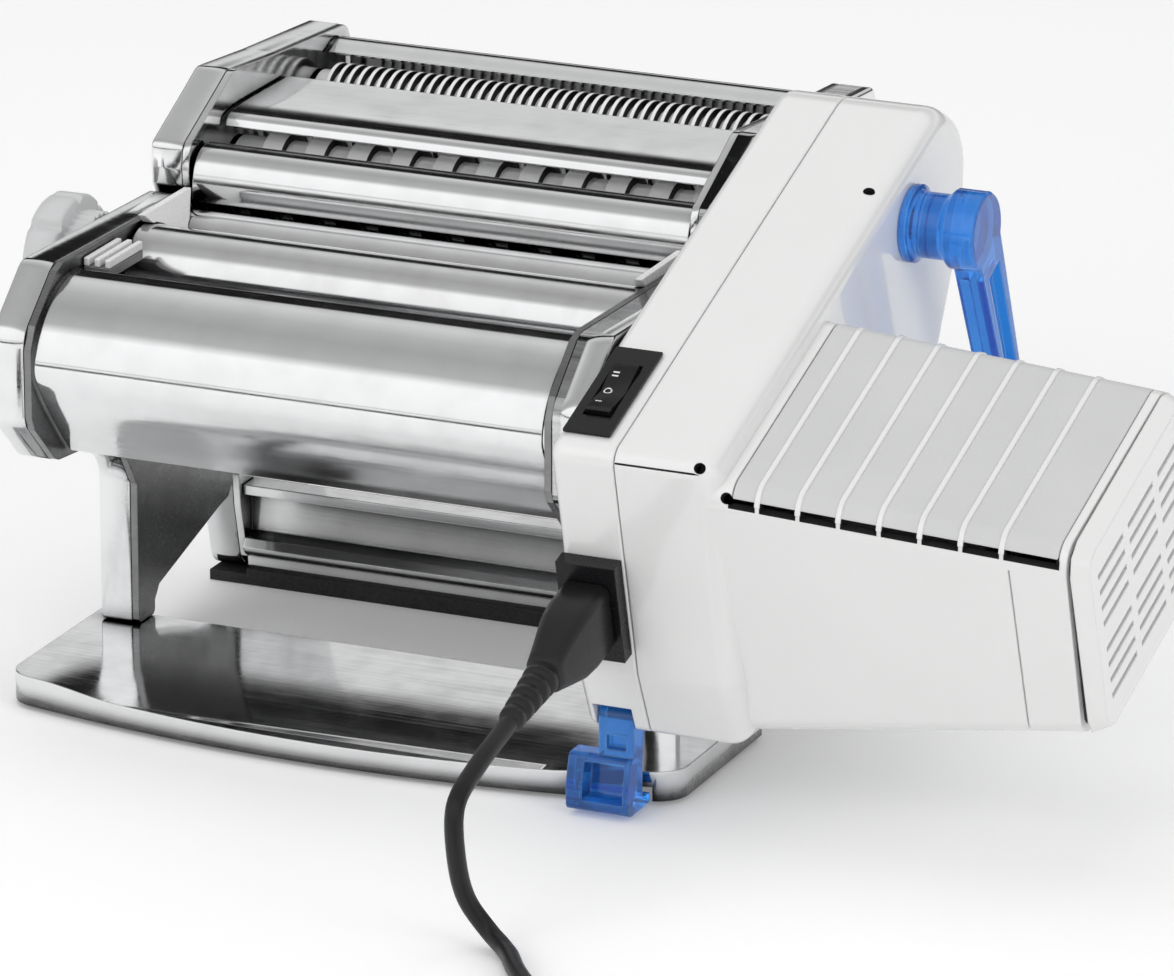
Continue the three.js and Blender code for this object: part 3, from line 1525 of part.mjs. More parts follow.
addPlug();

// Drive shaft: it takes the motor's turn to the rear roller and to the wide cutter's transfer gear.
const drivePhase = 0;
const pinionPhase = meshPhase(drivePhase, bigTeeth, rearAxis, smallTeeth, middleAxis);
const middlePhase = 0;
const rotorPhase = meshPhase(middlePhase, bigTeeth, middleAxis, smallTeeth, motorAxis);
const plateFar = gearPlateX + frameSheet;
const plateRoom = plateFar + layerGap;

function addDriveShaft() {
  const shaft = joined([
    rod(rearAxis, rollerShaft, couplingX + seat, stageOne[1] + layerGap / 2),
    rod(rearAxis, stemRadius, stageOne[1], plateRoom),
    gear(
      transferTeeth,
      transferPitch,
      transferAddendum,
      transferDedendum,
      transferPhase,
      layerTwo,
      layerTwo + layerThick,
      rearAxis,
    ),
  ]);
  piece("drive_shaft", shaft, steel);
}

addDriveShaft();

// Two nylon wheels: one on the drive shaft and one, with its pinion, between it and the motor.
function addWheels() {
  const wheel = gear(bigTeeth, bigPitch, stageAddendum, stageDedendum, drivePhase, ...stageOne, rearAxis);
  const bore = rod(rearAxis, rollerShaft + runGap, stageOne[0] - overrun, stageOne[1] + overrun);
  piece("drive_wheel", wheel.subtract(bore), nylon);

  const middleSolid = joined([
    rod(middleAxis, stemRadius, housingX + housingWall + layerGap, plateRoom),
    gear(smallTeeth, smallPitch, stageAddendum, stageDedendum, pinionPhase, ...stageOne, middleAxis),
    gear(bigTeeth, bigPitch, stageAddendum, stageDedendum, middlePhase, ...stageTwo, middleAxis),
  ]);
  piece("intermediate_wheel", middleSolid, nylon);
}

addWheels();

// Gear plate: it closes the gearbox and carries the three shafts and the motor.
function addGearPlate() {
  const plate = alongX(
    rounded(inset(housingCorners, housingWall + seat), 1),
    gearPlateX,
    gearPlateX + frameSheet,
  );
  const leverRoom = rod(leverAxis, 2 * leverStem, gearPlateX - overrun, plateFar + overrun, boreSides);
  const plateHoles = [rearAxis, middleAxis, motorAxis].map((axis) =>
    rod(axis, stemRadius + runGap, gearPlateX - overrun, plateFar + overrun),
  );
  piece("gear_plate", cutFrom(plate, [...plateHoles, leverRoom]), steel);
}

addGearPlate();

// Motor: a stator can against the gear plate, a rotor through it and a cooling fan behind.
const canRadius = 25.2;
const canWall = 7;
const canEnd = 2; // thickness of the can's closed end
const canLength = 75.7;
const canX = [plateFar + seat, plateFar + seat + canLength];
const canSides = 20;
const rotorGap = 1;
const rotorRadius = canRadius - canWall - rotorGap;
const fanGap = 5;
const fanWidth = 9;
const fanX = [canX[1] + fanGap, canX[1] + fanGap + fanWidth];

function addStator() {
  const can = rod(motorAxis, canRadius, ...canX, canSides);
  const canBore = rod(motorAxis, canRadius - canWall, canX[0] + canEnd, canX[1] + overrun, canSides);
  const canHole = rod(motorAxis, 2 * stemRadius, canX[0] - overrun, canX[1], boreSides);
  piece("motor_stator", cutFrom(can, [canBore, canHole]), darkSteel);
}

addStator();

function addRotor() {
  const windingMargin = 9;
  const commutatorRadius = 7.8;
  const rotor = joined([
    rod(motorAxis, stemRadius, stageTwo[0] - seat, fanX[1] + layerGap),
    gear(smallTeeth, smallPitch, stageAddendum, stageDedendum, rotorPhase, ...stageTwo, motorAxis),
    rod(motorAxis, rotorRadius, canX[0] + windingMargin, canX[1] - 2 * windingMargin),
    rod(motorAxis, commutatorRadius, canX[0] + windingMargin, canX[1] - windingMargin / 2, boreSides),
  ]);
  piece("motor_rotor", rotor, darkSteel);
}

addRotor();

function addFan() {
  const blades = 5;
  const bladeThick = 1.5;
  const hubRadius = 9;
  const fanRadius = 23.2;
  const bladeTilt = THREE.MathUtils.degToRad(30);
  const fanParts = [rod(motorAxis, hubRadius, ...fanX, boreSides)];
  for (let i = 0; i < blades; i++) {
    const chord = fanX[1] - fanX[0] - bladeThick;
    const blade = new THREE.BoxGeometry(chord, bladeThick, fanRadius - hubRadius / 2);
    blade.rotateZ(bladeTilt);
    blade.translate((fanX[0] + fanX[1]) / 2, 0, (fanRadius + hubRadius / 2) / 2);
    blade.rotateX((i * 2 * Math.PI) / blades);
    blade.translate(0, motorAxis.y, motorAxis.z);
    fanParts.push(solidOf(blade));
  }
  const fanBore = rod(motorAxis, stemRadius + runGap, fanX[0] - overrun, fanX[1] + overrun);
  piece("cooling_fan", joined(fanParts).subtract(fanBore), blackPlastic);
}

addFan();

// Release lever: a flanged hub with a pocketed arm that hangs behind the motor box.
function addLever() {
  const flangeRadius = 10.7;
  const waistRadius = 9;
  const hubRadius = 11;
  const hubSides = 16;
  const flangeThick = 2;
  const waistLength = 12;
  const hubLength = 22;
  const flangeEnd = motorX + seat + flangeThick;
  const waistEnd = motorX + waistLength;
  const hubEnd = motorX + hubLength;
  const stemStart = motorX - 3 * housingWall;
  const hub = turned(
    [
      [stemStart, 0],
      [stemStart, leverStem],
      [motorX + seat, leverStem],
      [motorX + seat, flangeRadius],
      [flangeEnd, flangeRadius],
      [flangeEnd, waistRadius],
      [waistEnd, waistRadius],
      [waistEnd, hubRadius],
      [hubEnd, hubRadius],
      [hubEnd, 0],
    ],
    hubSides,
    leverAxis,
  );
  const armLength = 55;
  const armRoot = 8;
  const armTip = 5.5;
  const armThick = 8;
  const pocketDepth = 3;
  const rim = 2;
  const armAngle = THREE.MathUtils.degToRad(-66);
  const armRound = 4.5;
  const armCorners = [
    [0, -armRoot],
    [armLength, -armTip, armRound],
    [armLength, armTip, armRound],
    [0, armRoot],
  ];
  const pocketStart = hubRadius + rim;
  const pocketCorners = [
    [pocketStart, -armRoot + 2 * rim],
    [armLength - 2 * rim, -armTip + rim, rim / 2],
    [armLength - 2 * rim, armTip - rim, rim / 2],
    [pocketStart, armRoot - 2 * rim],
  ];
  const place = (corners) =>
    rounded(corners).map((point) =>
      point.rotateAround(new THREE.Vector2(), armAngle).add(new THREE.Vector2(leverAxis.y, leverAxis.z)),
    );
  const armX = [hubEnd - armThick, hubEnd];
  const arm = alongX(place(armCorners), ...armX);
  const pockets = [
    alongX(place(pocketCorners), armX[0] - overrun, armX[0] + pocketDepth),
    alongX(place(pocketCorners), armX[1] - pocketDepth, armX[1] + overrun),
  ];
  piece("release_lever", cutFrom(hub.add(arm), pockets), bluePlastic);
}

addLever();

// Base latch: it turns on an eye in the housing's foot and reaches under the base plate's lip.
function addLatch() {
  const drop = { front: 7.5, rear: 2 };
  const footBottom = 1.4;
  const footTop = 4.3;
  const footRear = 7;
  const shoulder = 17;
  const edgeRound = 1.2;
  const noseRound = 3;
  const right = latchLeft + latchWidth;
  const eye = rod(latchPivot, latchEye, right - latchTongue, right, boreSides);
  const front = latchPivot.y - drop.front;
  const rear = latchPivot.y + drop.rear;
  const body = alongX(
    rounded([
      [front, footBottom, edgeRound],
      [latchPivot.y + footRear, footBottom],
      [latchPivot.y + footRear, footTop],
      [rear, footTop],
      [rear, shoulder],
      [front + drop.rear, shoulder, edgeRound],
      [front, footTop * 2, noseRound],
    ]),
    latchLeft,
    right,
  );
  const web = alongX(
    rounded([
      [latchPivot.y - latchEye, shoulder - 2 * drop.rear],
      [rear, shoulder - 2 * drop.rear],
      [latchPivot.y + latchEye, latchPivot.z],
      [latchPivot.y - latchEye, latchPivot.z],
    ]),
    right - latchTongue,
    right,
  );
  piece("base_latch", joined([eye, body, web]), bluePlastic);
}

addLatch();

// The machine stands centred on its own box, with the power lead left out of that box.
function standMachine() {
  const leadNames = ["connector", "cord_lead", "cord_coil", "mains_plug"];
  const box = new THREE.Box3();
  const standing = machine.children.filter((mesh) => !leadNames.includes(mesh.name));
  standing.forEach((mesh) => box.expandByObject(mesh));
  const middle = box.getCenter(new THREE.Vector3());
  machine.position.set(-middle.x, -middle.y, -box.min.z);
}

standMachine();

export default machine;
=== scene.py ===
import math
import bmesh
import bpy
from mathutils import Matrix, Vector


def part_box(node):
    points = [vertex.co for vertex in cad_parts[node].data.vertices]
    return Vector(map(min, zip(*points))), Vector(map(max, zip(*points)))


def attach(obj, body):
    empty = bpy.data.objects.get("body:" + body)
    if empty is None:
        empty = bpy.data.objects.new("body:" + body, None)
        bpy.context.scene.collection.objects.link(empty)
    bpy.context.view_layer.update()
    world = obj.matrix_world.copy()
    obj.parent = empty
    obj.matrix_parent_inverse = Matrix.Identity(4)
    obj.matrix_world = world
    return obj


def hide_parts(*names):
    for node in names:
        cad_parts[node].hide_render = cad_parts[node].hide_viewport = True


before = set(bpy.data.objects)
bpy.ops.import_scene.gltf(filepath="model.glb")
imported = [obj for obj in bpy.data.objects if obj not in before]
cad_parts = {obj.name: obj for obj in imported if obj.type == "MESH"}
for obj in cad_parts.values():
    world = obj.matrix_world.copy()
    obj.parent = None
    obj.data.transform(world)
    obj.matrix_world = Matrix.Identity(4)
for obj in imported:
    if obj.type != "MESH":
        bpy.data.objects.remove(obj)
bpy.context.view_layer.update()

# Camera: a long lens in front of the drive end and a little above it, so that the cutter slots
# are seen over the front cover. It is level, and the whole machine fills the picture.
VIEW_POINT = Vector((-0.0035, -0.0271, 0.0678))
VIEW_AZIMUTH = math.radians(23.7)
VIEW_ELEVATION = math.radians(18.6)
VIEW_DISTANCE = 2.426
LENS = 276
towards_camera = Vector((
    math.sin(VIEW_AZIMUTH) * math.cos(VIEW_ELEVATION),
    -math.cos(VIEW_AZIMUTH) * math.cos(VIEW_ELEVATION),
    math.sin(VIEW_ELEVATION),
))
camera = bpy.data.objects.new("camera", bpy.data.cameras.new("camera"))
camera.data.lens = LENS
camera.data.clip_end = 20
camera.location = VIEW_POINT + towards_camera * VIEW_DISTANCE
camera.rotation_mode = "QUATERNION"
camera.rotation_quaternion = (-towards_camera).to_track_quat("-Z", "Y")
bpy.context.scene.collection.objects.link(camera)
bpy.context.scene.camera = camera


# Power lead: a 5 mm round black flex. It hangs from the connector to the table, runs away to the
# front and ends in a coil of seven turns, two layers of three and a turn between, with its plug.
MM = 0.001
BASE_REAR = 9  # the base plate's back edge, in millimetres behind the legs' front
CORD_DIAMETER = 5 * MM
CONNECTOR_LENGTH = 58
SEAT = 0.3  # the clearance of pieces that sit in each other
COIL_PITCH = 5.6 * MM
COIL_MIDDLE = 27.5 * MM
LOOP_STEPS = 24
LOOPS_DOWN = 3
LOOPS_UP = 3
PLUG_TAIL = 7 * CORD_DIAMETER
TAIL_SHARES = (1 / 7, 4 / 7, 1)
FACE_TILT = math.radians(14.44)  # the housing's front face leans back by this much
FACE_OUT = Vector((0, -math.cos(FACE_TILT), -math.sin(FACE_TILT)))

left_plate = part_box("left_frame_plate")[1].x
legs_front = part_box("base_plate")[1].y - BASE_REAR * MM


def at(x, y, z):
    """A point in millimetres from the left frame plate's inner face, the legs' front and the table."""
    return Vector((left_plate + x * MM, legs_front + y * MM, z * MM))


def curve_through(points, spans):
    """A smooth line through the points, its corners spaced by distance, cut into short steps."""
    knots = [0]
    for before, after in zip(points, points[1:]):
        knots.append(knots[-1] + math.sqrt((after - before).length))
    around = [points[0] * 2 - points[1], *points, points[-1] * 2 - points[-2]]
    times = [knots[0] - knots[1], *knots, 2 * knots[-1] - knots[-2]]
    line = []
    for i in range(len(points) - 1):
        p = around[i:i + 4]
        t = times[i:i + 4]
        for step in range(spans):
            now = t[1] + (t[2] - t[1]) * step / spans
            a = [p[k].lerp(p[k + 1], (now - t[k]) / (t[k + 1] - t[k])) for k in range(3)]
            b = [a[k].lerp(a[k + 1], (now - t[k]) / (t[k + 2] - t[k])) for k in range(2)]
            line.append(b[0].lerp(b[1], (now - t[1]) / (t[2] - t[1])))
    return [*line, points[-1]]


def smoothstep(value, low, high):
    share = min(max((value - low) / (high - low), 0), 1)
    return share * share * (3 - 2 * share)


inlet_middle = at(172.1, -76.357, 64.788)
cord_exit = inlet_middle + FACE_OUT * ((CONNECTOR_LENGTH + SEAT) * MM)
hanging = [
    (0, 33, 39), (0.5, 34.5, 28), (2, 31.5, 14), (7, 29, 5), (14, 34, 2.5), (24, 48, 2.5), (46, 73, 2.5),
]
hang = [Vector((cord_exit.x + x * MM, cord_exit.y - y * MM, z * MM)) for x, y, z in hanging]
coil_entry = at(256, -247.4, 2.5)
coil_heading = Vector((0.67, -0.742, 0)).normalized()
coil_start = coil_entry - coil_heading * CORD_DIAMETER
lead_end = coil_start - coil_heading * (SEAT * MM)
lead_guide = [
    cord_exit,
    cord_exit + FACE_OUT * CORD_DIAMETER,
    cord_exit + FACE_OUT * CORD_DIAMETER * 4,
    *hang,
    lead_end - coil_heading * CORD_DIAMETER,
    lead_end,
]
lead_line = [Vector((p.x, p.y, max(p.z, CORD_DIAMETER / 2))) for p in curve_through(lead_guide, 4)]

coil_side = Vector((coil_heading.y, -coil_heading.x, 0))
coil_outer = COIL_MIDDLE + LOOPS_DOWN * COIL_PITCH / 2
coil_centre = coil_entry + coil_side * coil_outer
start_angle = math.atan2(coil_entry.y - coil_centre.y, coil_entry.x - coil_centre.x)
climb_from = LOOPS_DOWN * LOOP_STEPS
climb_to = climb_from + LOOP_STEPS // 2
spread_to = climb_to + LOOP_STEPS // 2
coil_steps = spread_to + LOOPS_UP * LOOP_STEPS
coil_line = []
for i in range(coil_steps + 1):
    radius = coil_outer - COIL_PITCH * min(i, climb_to) / LOOP_STEPS
    if i > climb_to:
        radius += COIL_PITCH * (min(i, spread_to) - climb_to) / (LOOP_STEPS / 2)
    if i > spread_to:
        radius += COIL_PITCH * (i - spread_to) / LOOP_STEPS
    turn = start_angle - i / LOOP_STEPS * 2 * math.pi
    rise = COIL_PITCH * smoothstep(i, climb_from, climb_to)
    coil_line.append(coil_centre + Vector((radius * math.cos(turn), radius * math.sin(turn), rise)))
tail = [coil_line[-1] + coil_heading * PLUG_TAIL * share for share in TAIL_SHARES]
cord_points = [*lead_line, *coil_line, *tail]

cord_curve = bpy.data.curves.new("power_cord", "CURVE")
cord_curve.dimensions = "3D"
cord_curve.bevel_depth = CORD_DIAMETER / 2
cord_curve.bevel_resolution = 5
cord_curve.resolution_u = 3
cord_curve.use_fill_caps = True
cord_spline = cord_curve.splines.new("BEZIER")
cord_spline.bezier_points.add(len(cord_points) - 1)
for knot, point in zip(cord_spline.bezier_points, cord_points):
    knot.co = point
    knot.handle_left_type = knot.handle_right_type = "AUTO"
power_cord = bpy.data.objects.new("power_cord", cord_curve)
bpy.context.scene.collection.objects.link(power_cord)


def add_node(tree, kind, sockets=None, **settings):
    """A node in a tree, its sockets set to values or joined to other nodes' outputs."""
    made = tree.nodes.new(kind)
    for name, value in settings.items():
        setattr(made, name, value)
    for name, value in (sockets or {}).items():
        if isinstance(value, bpy.types.NodeSocket):
            tree.links.new(value, made.inputs[name])
        else:
            made.inputs[name].default_value = value
    return made


def reckon(tree, operation, first, second, clamp=False):
    """One sum, product or the like of two values or sockets."""
    sockets = {0: first, 1: second}
    return add_node(tree, "ShaderNodeMath", sockets, operation=operation, use_clamp=clamp).outputs[0]


def spread(tree, value, low, high, to_low, to_high):
    """A value brought from one range to another."""
    ranges = {"Value": value, "From Min": low, "From Max": high, "To Min": to_low, "To Max": to_high}
    return add_node(tree, "ShaderNodeMapRange", ranges).outputs[0]


def mixed(tree, share, base, other):
    """A colour between two, by a mask."""
    made = add_node(tree, "ShaderNodeMix", {0: share}, data_type="RGBA")
    for socket, colour in ((made.inputs[6], base), (made.inputs[7], other)):
        if isinstance(colour, bpy.types.NodeSocket):
            tree.links.new(colour, socket)
        else:
            socket.default_value = (*colour, 1)
    return made.outputs[2]


def new_effect(name, inputs, outputs):
    """An empty node group with its sockets, for an effect that several finishes share."""
    tree = bpy.data.node_groups.new(name, "ShaderNodeTree")
    for label, value in inputs:
        tree.interface.new_socket(label, in_out="INPUT", socket_type="NodeSocketFloat").default_value = value
    for label, kind in outputs:
        tree.interface.new_socket(label, in_out="OUTPUT", socket_type=kind)
    return tree, tree.nodes.new("NodeGroupInput").outputs, tree.nodes.new("NodeGroupOutput").inputs


def place_effect(tree, group, **values):
    made = tree.nodes.new("ShaderNodeGroup")
    made.node_tree = group
    for name, value in values.items():
        made.inputs[name].default_value = value
    return made.outputs


def new_finish(name, **constants):
    """A material with its Principled BSDF, whose plain values are set on the shader itself."""
    material = bpy.data.materials.new(name)
    material.use_nodes = True
    shader = material.node_tree.nodes["Principled BSDF"].inputs
    for label, value in constants.items():
        shader[label.replace("_", " ")].default_value = value
    return material, material.node_tree, shader


# A fine grain of two sizes, as moulded plastic and rubber have from their moulds.
mould_grain, given, result = new_effect(
    "mould_grain",
    [("Size", 0.5 * MM), ("Cloud", 30 * MM)],
    [("Grain", "NodeSocketFloat"), ("Cloudiness", "NodeSocketFloat")],
)
spot = add_node(mould_grain, "ShaderNodeTexCoord").outputs["Object"]
for size, label in (("Size", "Grain"), ("Cloud", "Cloudiness")):
    scale = reckon(mould_grain, "DIVIDE", 1.0, given[size])
    noise = add_node(mould_grain, "ShaderNodeTexNoise", {"Vector": spot, "Scale": scale, "Detail": 3.0})
    mould_grain.links.new(noise.outputs[0], result[label])

# Rounded edges catch the light and rubbed edges turn paler: a normal and an edge mask from the form. The
# clear blue acrylic uses the edge mask for a painted highlight.
eased_edges, given, result = new_effect(
    "eased_edges",
    [("Radius", 0.4 * MM), ("Sharpness", 5.0)],
    [("Normal", "NodeSocketVector"), ("Edge", "NodeSocketFloat")],
)
eased = add_node(eased_edges, "ShaderNodeBevel", {"Radius": given["Radius"]}, samples=6).outputs[0]
flat = add_node(eased_edges, "ShaderNodeNewGeometry").outputs["Normal"]
both = {0: eased, 1: flat}
facing = add_node(eased_edges, "ShaderNodeVectorMath", both, operation="DOT_PRODUCT").outputs["Value"]
turned_away = reckon(eased_edges, "SUBTRACT", 1.0, facing)
edge_mask = reckon(eased_edges, "MULTIPLY", turned_away, given["Sharpness"], clamp=True)
eased_edges.links.new(eased, result["Normal"])
eased_edges.links.new(edge_mask, result["Edge"])


NOISE_RANGE = (0.3, 0.7)  # where most of a noise texture's values lie
MOST_CLOUD = 0.25


def moulded(name, base, rubbed, rough, size, depth, radius=0.4 * MM, **constants):
    """Moulded plastic or rubber: cloudy colour, rubbed edges, uneven gloss and a fine mould grain."""
    material, tree, shader = new_finish(name, **constants)
    grain = place_effect(tree, mould_grain, Size=size)
    edge = place_effect(tree, eased_edges, Radius=radius)
    cloud = spread(tree, grain["Cloudiness"], *NOISE_RANGE, 0.0, MOST_CLOUD)
    wear = reckon(tree, "ADD", cloud, edge["Edge"], clamp=True)
    tree.links.new(mixed(tree, wear, base, rubbed), shader["Base Color"])
    tree.links.new(spread(tree, grain["Grain"], *NOISE_RANGE, *rough), shader["Roughness"])
    grained = {"Height": grain["Grain"], "Normal": edge["Normal"], "Distance": depth}
    tree.links.new(add_node(tree, "ShaderNodeBump", grained).outputs[0], shader["Normal"])
    return material


cord_rubber = moulded(
    "cord_rubber", (0.01, 0.01, 0.011), (0.035, 0.035, 0.036), (0.3, 0.45), 0.6 * MM, 0.03 * MM,
    Specular_IOR_Level=0.3,
)
cord_curve.materials.append(cord_rubber)
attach(power_cord, "frame")
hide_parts("cord_lead", "cord_coil")


# Connector and mains plug: black rubber mouldings on the ends of the flex. Each narrows into a
# ribbed sleeve, 22 mm long, that keeps the flex from bending sharply.
def rounded(corners, steps=8):
    """Corners (across, up, radius) in order, each with a radius turned into an arc."""
    line = []
    for i, corner in enumerate(corners):
        here = Vector(corner[:2])
        if len(corner) < 3:
            line.append(here)
            continue
        radius = corner[2]
        back = (Vector(corners[i - 1][:2]) - here).normalized()
        on = (Vector(corners[(i + 1) % len(corners)][:2]) - here).normalized()
        half = back.angle(on) / 2
        middle = here + (back + on).normalized() * radius / math.sin(half)
        start = here + back * radius / math.tan(half) - middle
        end = here + on * radius / math.tan(half) - middle
        for k in range(steps + 1):
            line.append(middle + start.slerp(end, k / steps).normalized() * radius)
    return line


def skin(name, rings, finish, ends=(True, True)):
    """A mesh whose rings of points are joined by faces, with flat ends where asked."""
    mesh = bpy.data.meshes.new(name)
    form = bmesh.new()
    rows = [[form.verts.new(point) for point in ring] for ring in rings]
    count = len(rings[0])
    for near, far in zip(rows, rows[1:]):
        for k in range(count):
            after = (k + 1) % count
            form.faces.new((near[k], near[after], far[after], far[k]))
    if ends[0]:
        form.faces.new(list(reversed(rows[0])))
    if ends[1]:
        form.faces.new(rows[-1])
    bmesh.ops.recalc_face_normals(form, faces=form.faces)
    form.to_mesh(mesh)
    form.free()
    mesh.polygons.foreach_set("use_smooth", [True] * len(mesh.polygons))
    mesh.materials.append(finish)
    piece = bpy.data.objects.new(name, mesh)
    bpy.context.scene.collection.objects.link(piece)
    return piece


def lengthwise(name, start, out, side, stations, finish):
    """A body along a direction, from stations of distance, half width, half height and corner radius."""
    up = out.cross(side)
    rings = []
    for far, wide, high, radius in stations:
        corners = [(-wide, -high, radius), (wide, -high, radius), (wide, high, radius), (-wide, high, radius)]
        ring = rounded(corners, steps=6)
        rings.append([start + out * far * MM + side * p.x * MM + up * p.y * MM for p in ring])
    return skin(name, rings, finish)


def dress(piece, body, slot, *nodes):
    """Rides the piece on its body and stands for its CAD nodes. Its finish slot is not used."""
    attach(piece, body)
    if nodes:
        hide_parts(*nodes)
    return piece


RELIEF_LENGTH = 22
RELIEF_RIBS = 5
RELIEF_GROOVE = 0.9
RELIEF_ROUND = 0.98  # a rib's corner radius as a share of its half width


def relief(start, end, root, tip):
    """Stations of a round sleeve with ribs that get smaller towards the flex."""
    stations = []
    step = (end - start) / RELIEF_RIBS
    for i in range(RELIEF_RIBS):
        radius = root + (tip - root) * i / (RELIEF_RIBS - 1)
        groove = radius - RELIEF_GROOVE
        place = start + i * step
        rib = ((0, groove), (0.18, groove), (0.26, radius), (0.8, radius - 0.15), (0.88, groove))
        for share, size in rib:
            stations.append((place + share * step, size, size, size * RELIEF_ROUND))
    neck = tip - RELIEF_GROOVE
    return [*stations, (end, neck, neck, neck * RELIEF_ROUND)]


TONGUE = -4.5
FACE_GAP = 5.3
relief_start = CONNECTOR_LENGTH - RELIEF_LENGTH
handle = [
    (TONGUE, 3.4, 7.2, 1), (FACE_GAP, 3.4, 7.2, 1), (FACE_GAP, 6, 9.2, 2), (FACE_GAP + 0.6, 6.5, 9.7, 2.4),
    (16, 6.6, 9.8, 2.6), (22, 6.2, 9.2, 2.6), (28, 5.4, 7.4, 2.6), (33, 4.9, 5.8, 2.8),
    (relief_start - 0.5, 4.7, 5.1, 3), (relief_start, 4.2, 4.5, 3),
]
connector = lengthwise(
    "connector_body", inlet_middle, FACE_OUT, Vector((1, 0, 0)),
    [*handle, *relief(relief_start, CONNECTOR_LENGTH, 4.8, 3.5)], cord_rubber,
)
dress(connector, "frame", "black_plastic", "connector")

plug_stations = [
    *relief(SEAT, RELIEF_LENGTH, 3.5, 4.6), (RELIEF_LENGTH, 6, 4.4, 2.5),
    (RELIEF_LENGTH + 6, 11, 6, 4), (RELIEF_LENGTH + 12, 15.5, 7.2, 4.5), (RELIEF_LENGTH + 20, 16.5, 7.6, 4.5),
    (RELIEF_LENGTH + 26, 16, 7.4, 4.5), (RELIEF_LENGTH + 27, 15, 6.6, 4),
]
plug = lengthwise("plug_body", cord_points[-1], coil_heading, coil_side, plug_stations, cord_rubber)
dress(plug, "frame", "black_plastic", "mains_plug")


# Base plate: a bowed pan of chromed sheet with a rolled edge, on two rubber strips that keep its lip
# just off the table. The front of the lip has a notch for the drive unit's latch.
def ease(piece, width, segments=3, angle=35):
    """Rounds the piece's sharp edges, and keeps its flat faces flat."""
    bevel = piece.modifiers.new("eased_edge", "BEVEL")
    bevel.width = width
    bevel.segments = segments
    bevel.limit_method = "ANGLE"
    bevel.angle_limit = math.radians(angle)
    bevel.harden_normals = True
    return piece


def hollow(piece, sheet):
    """Gives an open shell the thickness of its sheet, inwards."""
    wall = piece.modifiers.new("sheet", "SOLIDIFY")
    wall.thickness = sheet
    wall.offset = -1
    wall.use_even_offset = True
    return piece


# Rolled sheet keeps faint streaks along its length and a slow waviness that bends its reflections.
rolled_streaks, given, result = new_effect(
    "rolled_streaks",
    [("Along", 60 * MM), ("Across", 0.8 * MM), ("Wave", 45 * MM)],
    [("Streak", "NodeSocketFloat"), ("Waviness", "NodeSocketFloat"), ("Smudge", "NodeSocketFloat")],
)
spot = add_node(rolled_streaks, "ShaderNodeTexCoord").outputs["Object"]
along = reckon(rolled_streaks, "DIVIDE", 1.0, given["Along"])
across = reckon(rolled_streaks, "DIVIDE", 1.0, given["Across"])
ratio = add_node(rolled_streaks, "ShaderNodeCombineXYZ", {"X": along, "Y": across, "Z": across}).outputs[0]
drawn = add_node(rolled_streaks, "ShaderNodeVectorMath", {0: spot, 1: ratio}, operation="MULTIPLY").outputs[0]
wave = reckon(rolled_streaks, "DIVIDE", 1.0, given["Wave"])
for where, scale, label in ((drawn, 1.0, "Streak"), (spot, wave, "Waviness"), (spot, 90.0, "Smudge")):
    noise = add_node(rolled_streaks, "ShaderNodeTexNoise", {"Vector": where, "Scale": scale, "Detail": 4.0})
    rolled_streaks.links.new(noise.outputs[0], result[label])


# Painted shade: metal turns near-black where it is sheltered, by a mask that grows towards narrow gaps.
painted_gap_shade, given, result = new_effect(
    "painted_gap_shade",
    [("Reach", 9 * MM), ("Open", 0.75), ("Shut", 0.3)],
    [("Painted Shade", "NodeSocketFloat")],
)
nearby = {"Distance": given["Reach"]}
openness = add_node(painted_gap_shade, "ShaderNodeAmbientOcclusion", nearby, samples=5).outputs["AO"]
painted_gap_shade.links.new(spread(painted_gap_shade, openness, given["Shut"], given["Open"], 1.0, 0.0), result["Painted Shade"])
PAINTED_SHADE_COLOUR = (0.012, 0.012, 0.012)
METAL_EDGE = 0.5
SMUDGE_RANGE = (0.4, 0.75)
SMUDGE_ROUGH = 0.05  # how much rougher a smudge is
SHUT_SHARE = 0.4


def metal(name, base, dull, rough, along, across, depth, wave_depth, open_share=0.75, metallic=1.0):
    """Metal sheet or bar: streaks of gloss along it, duller smudges, painted shade in narrow gaps and a slow
    waviness.
    """
    material, tree, shader = new_finish(name, Metallic=metallic)
    streaks = place_effect(tree, rolled_streaks, Along=along, Across=across)
    edge = place_effect(tree, eased_edges, Radius=METAL_EDGE * MM)
    smudge = spread(tree, streaks["Smudge"], *SMUDGE_RANGE, 0.0, 1.0)
    painted_shade = place_effect(tree, painted_gap_shade, Open=open_share, Shut=open_share * SHUT_SHARE)["Painted Shade"]
    # Painted shade: the colour is mixed towards near-black where the gap mask is strong.
    tree.links.new(mixed(tree, painted_shade, mixed(tree, smudge, base, dull), PAINTED_SHADE_COLOUR), shader["Base Color"])
    streaked = spread(tree, streaks["Streak"], *NOISE_RANGE, *rough)
    rougher = reckon(tree, "MULTIPLY", smudge, SMUDGE_ROUGH)
    tree.links.new(reckon(tree, "ADD", streaked, rougher), shader["Roughness"])
    waves = {"Height": streaks["Waviness"], "Normal": edge["Normal"], "Distance": wave_depth}
    slow = add_node(tree, "ShaderNodeBump", waves).outputs[0]
    fine = {"Height": streaks["Streak"], "Normal": slow, "Distance": depth}
    tree.links.new(add_node(tree, "ShaderNodeBump", fine).outputs[0], shader["Normal"])
    return material


CHROME = (0.83, 0.835, 0.84)
CHROME_DULL = (0.77, 0.775, 0.78)
chrome = metal("chromed_sheet", CHROME, CHROME_DULL, (0.05, 0.12), 70 * MM, 1.2 * MM, 0.004 * MM, 0.09 * MM)


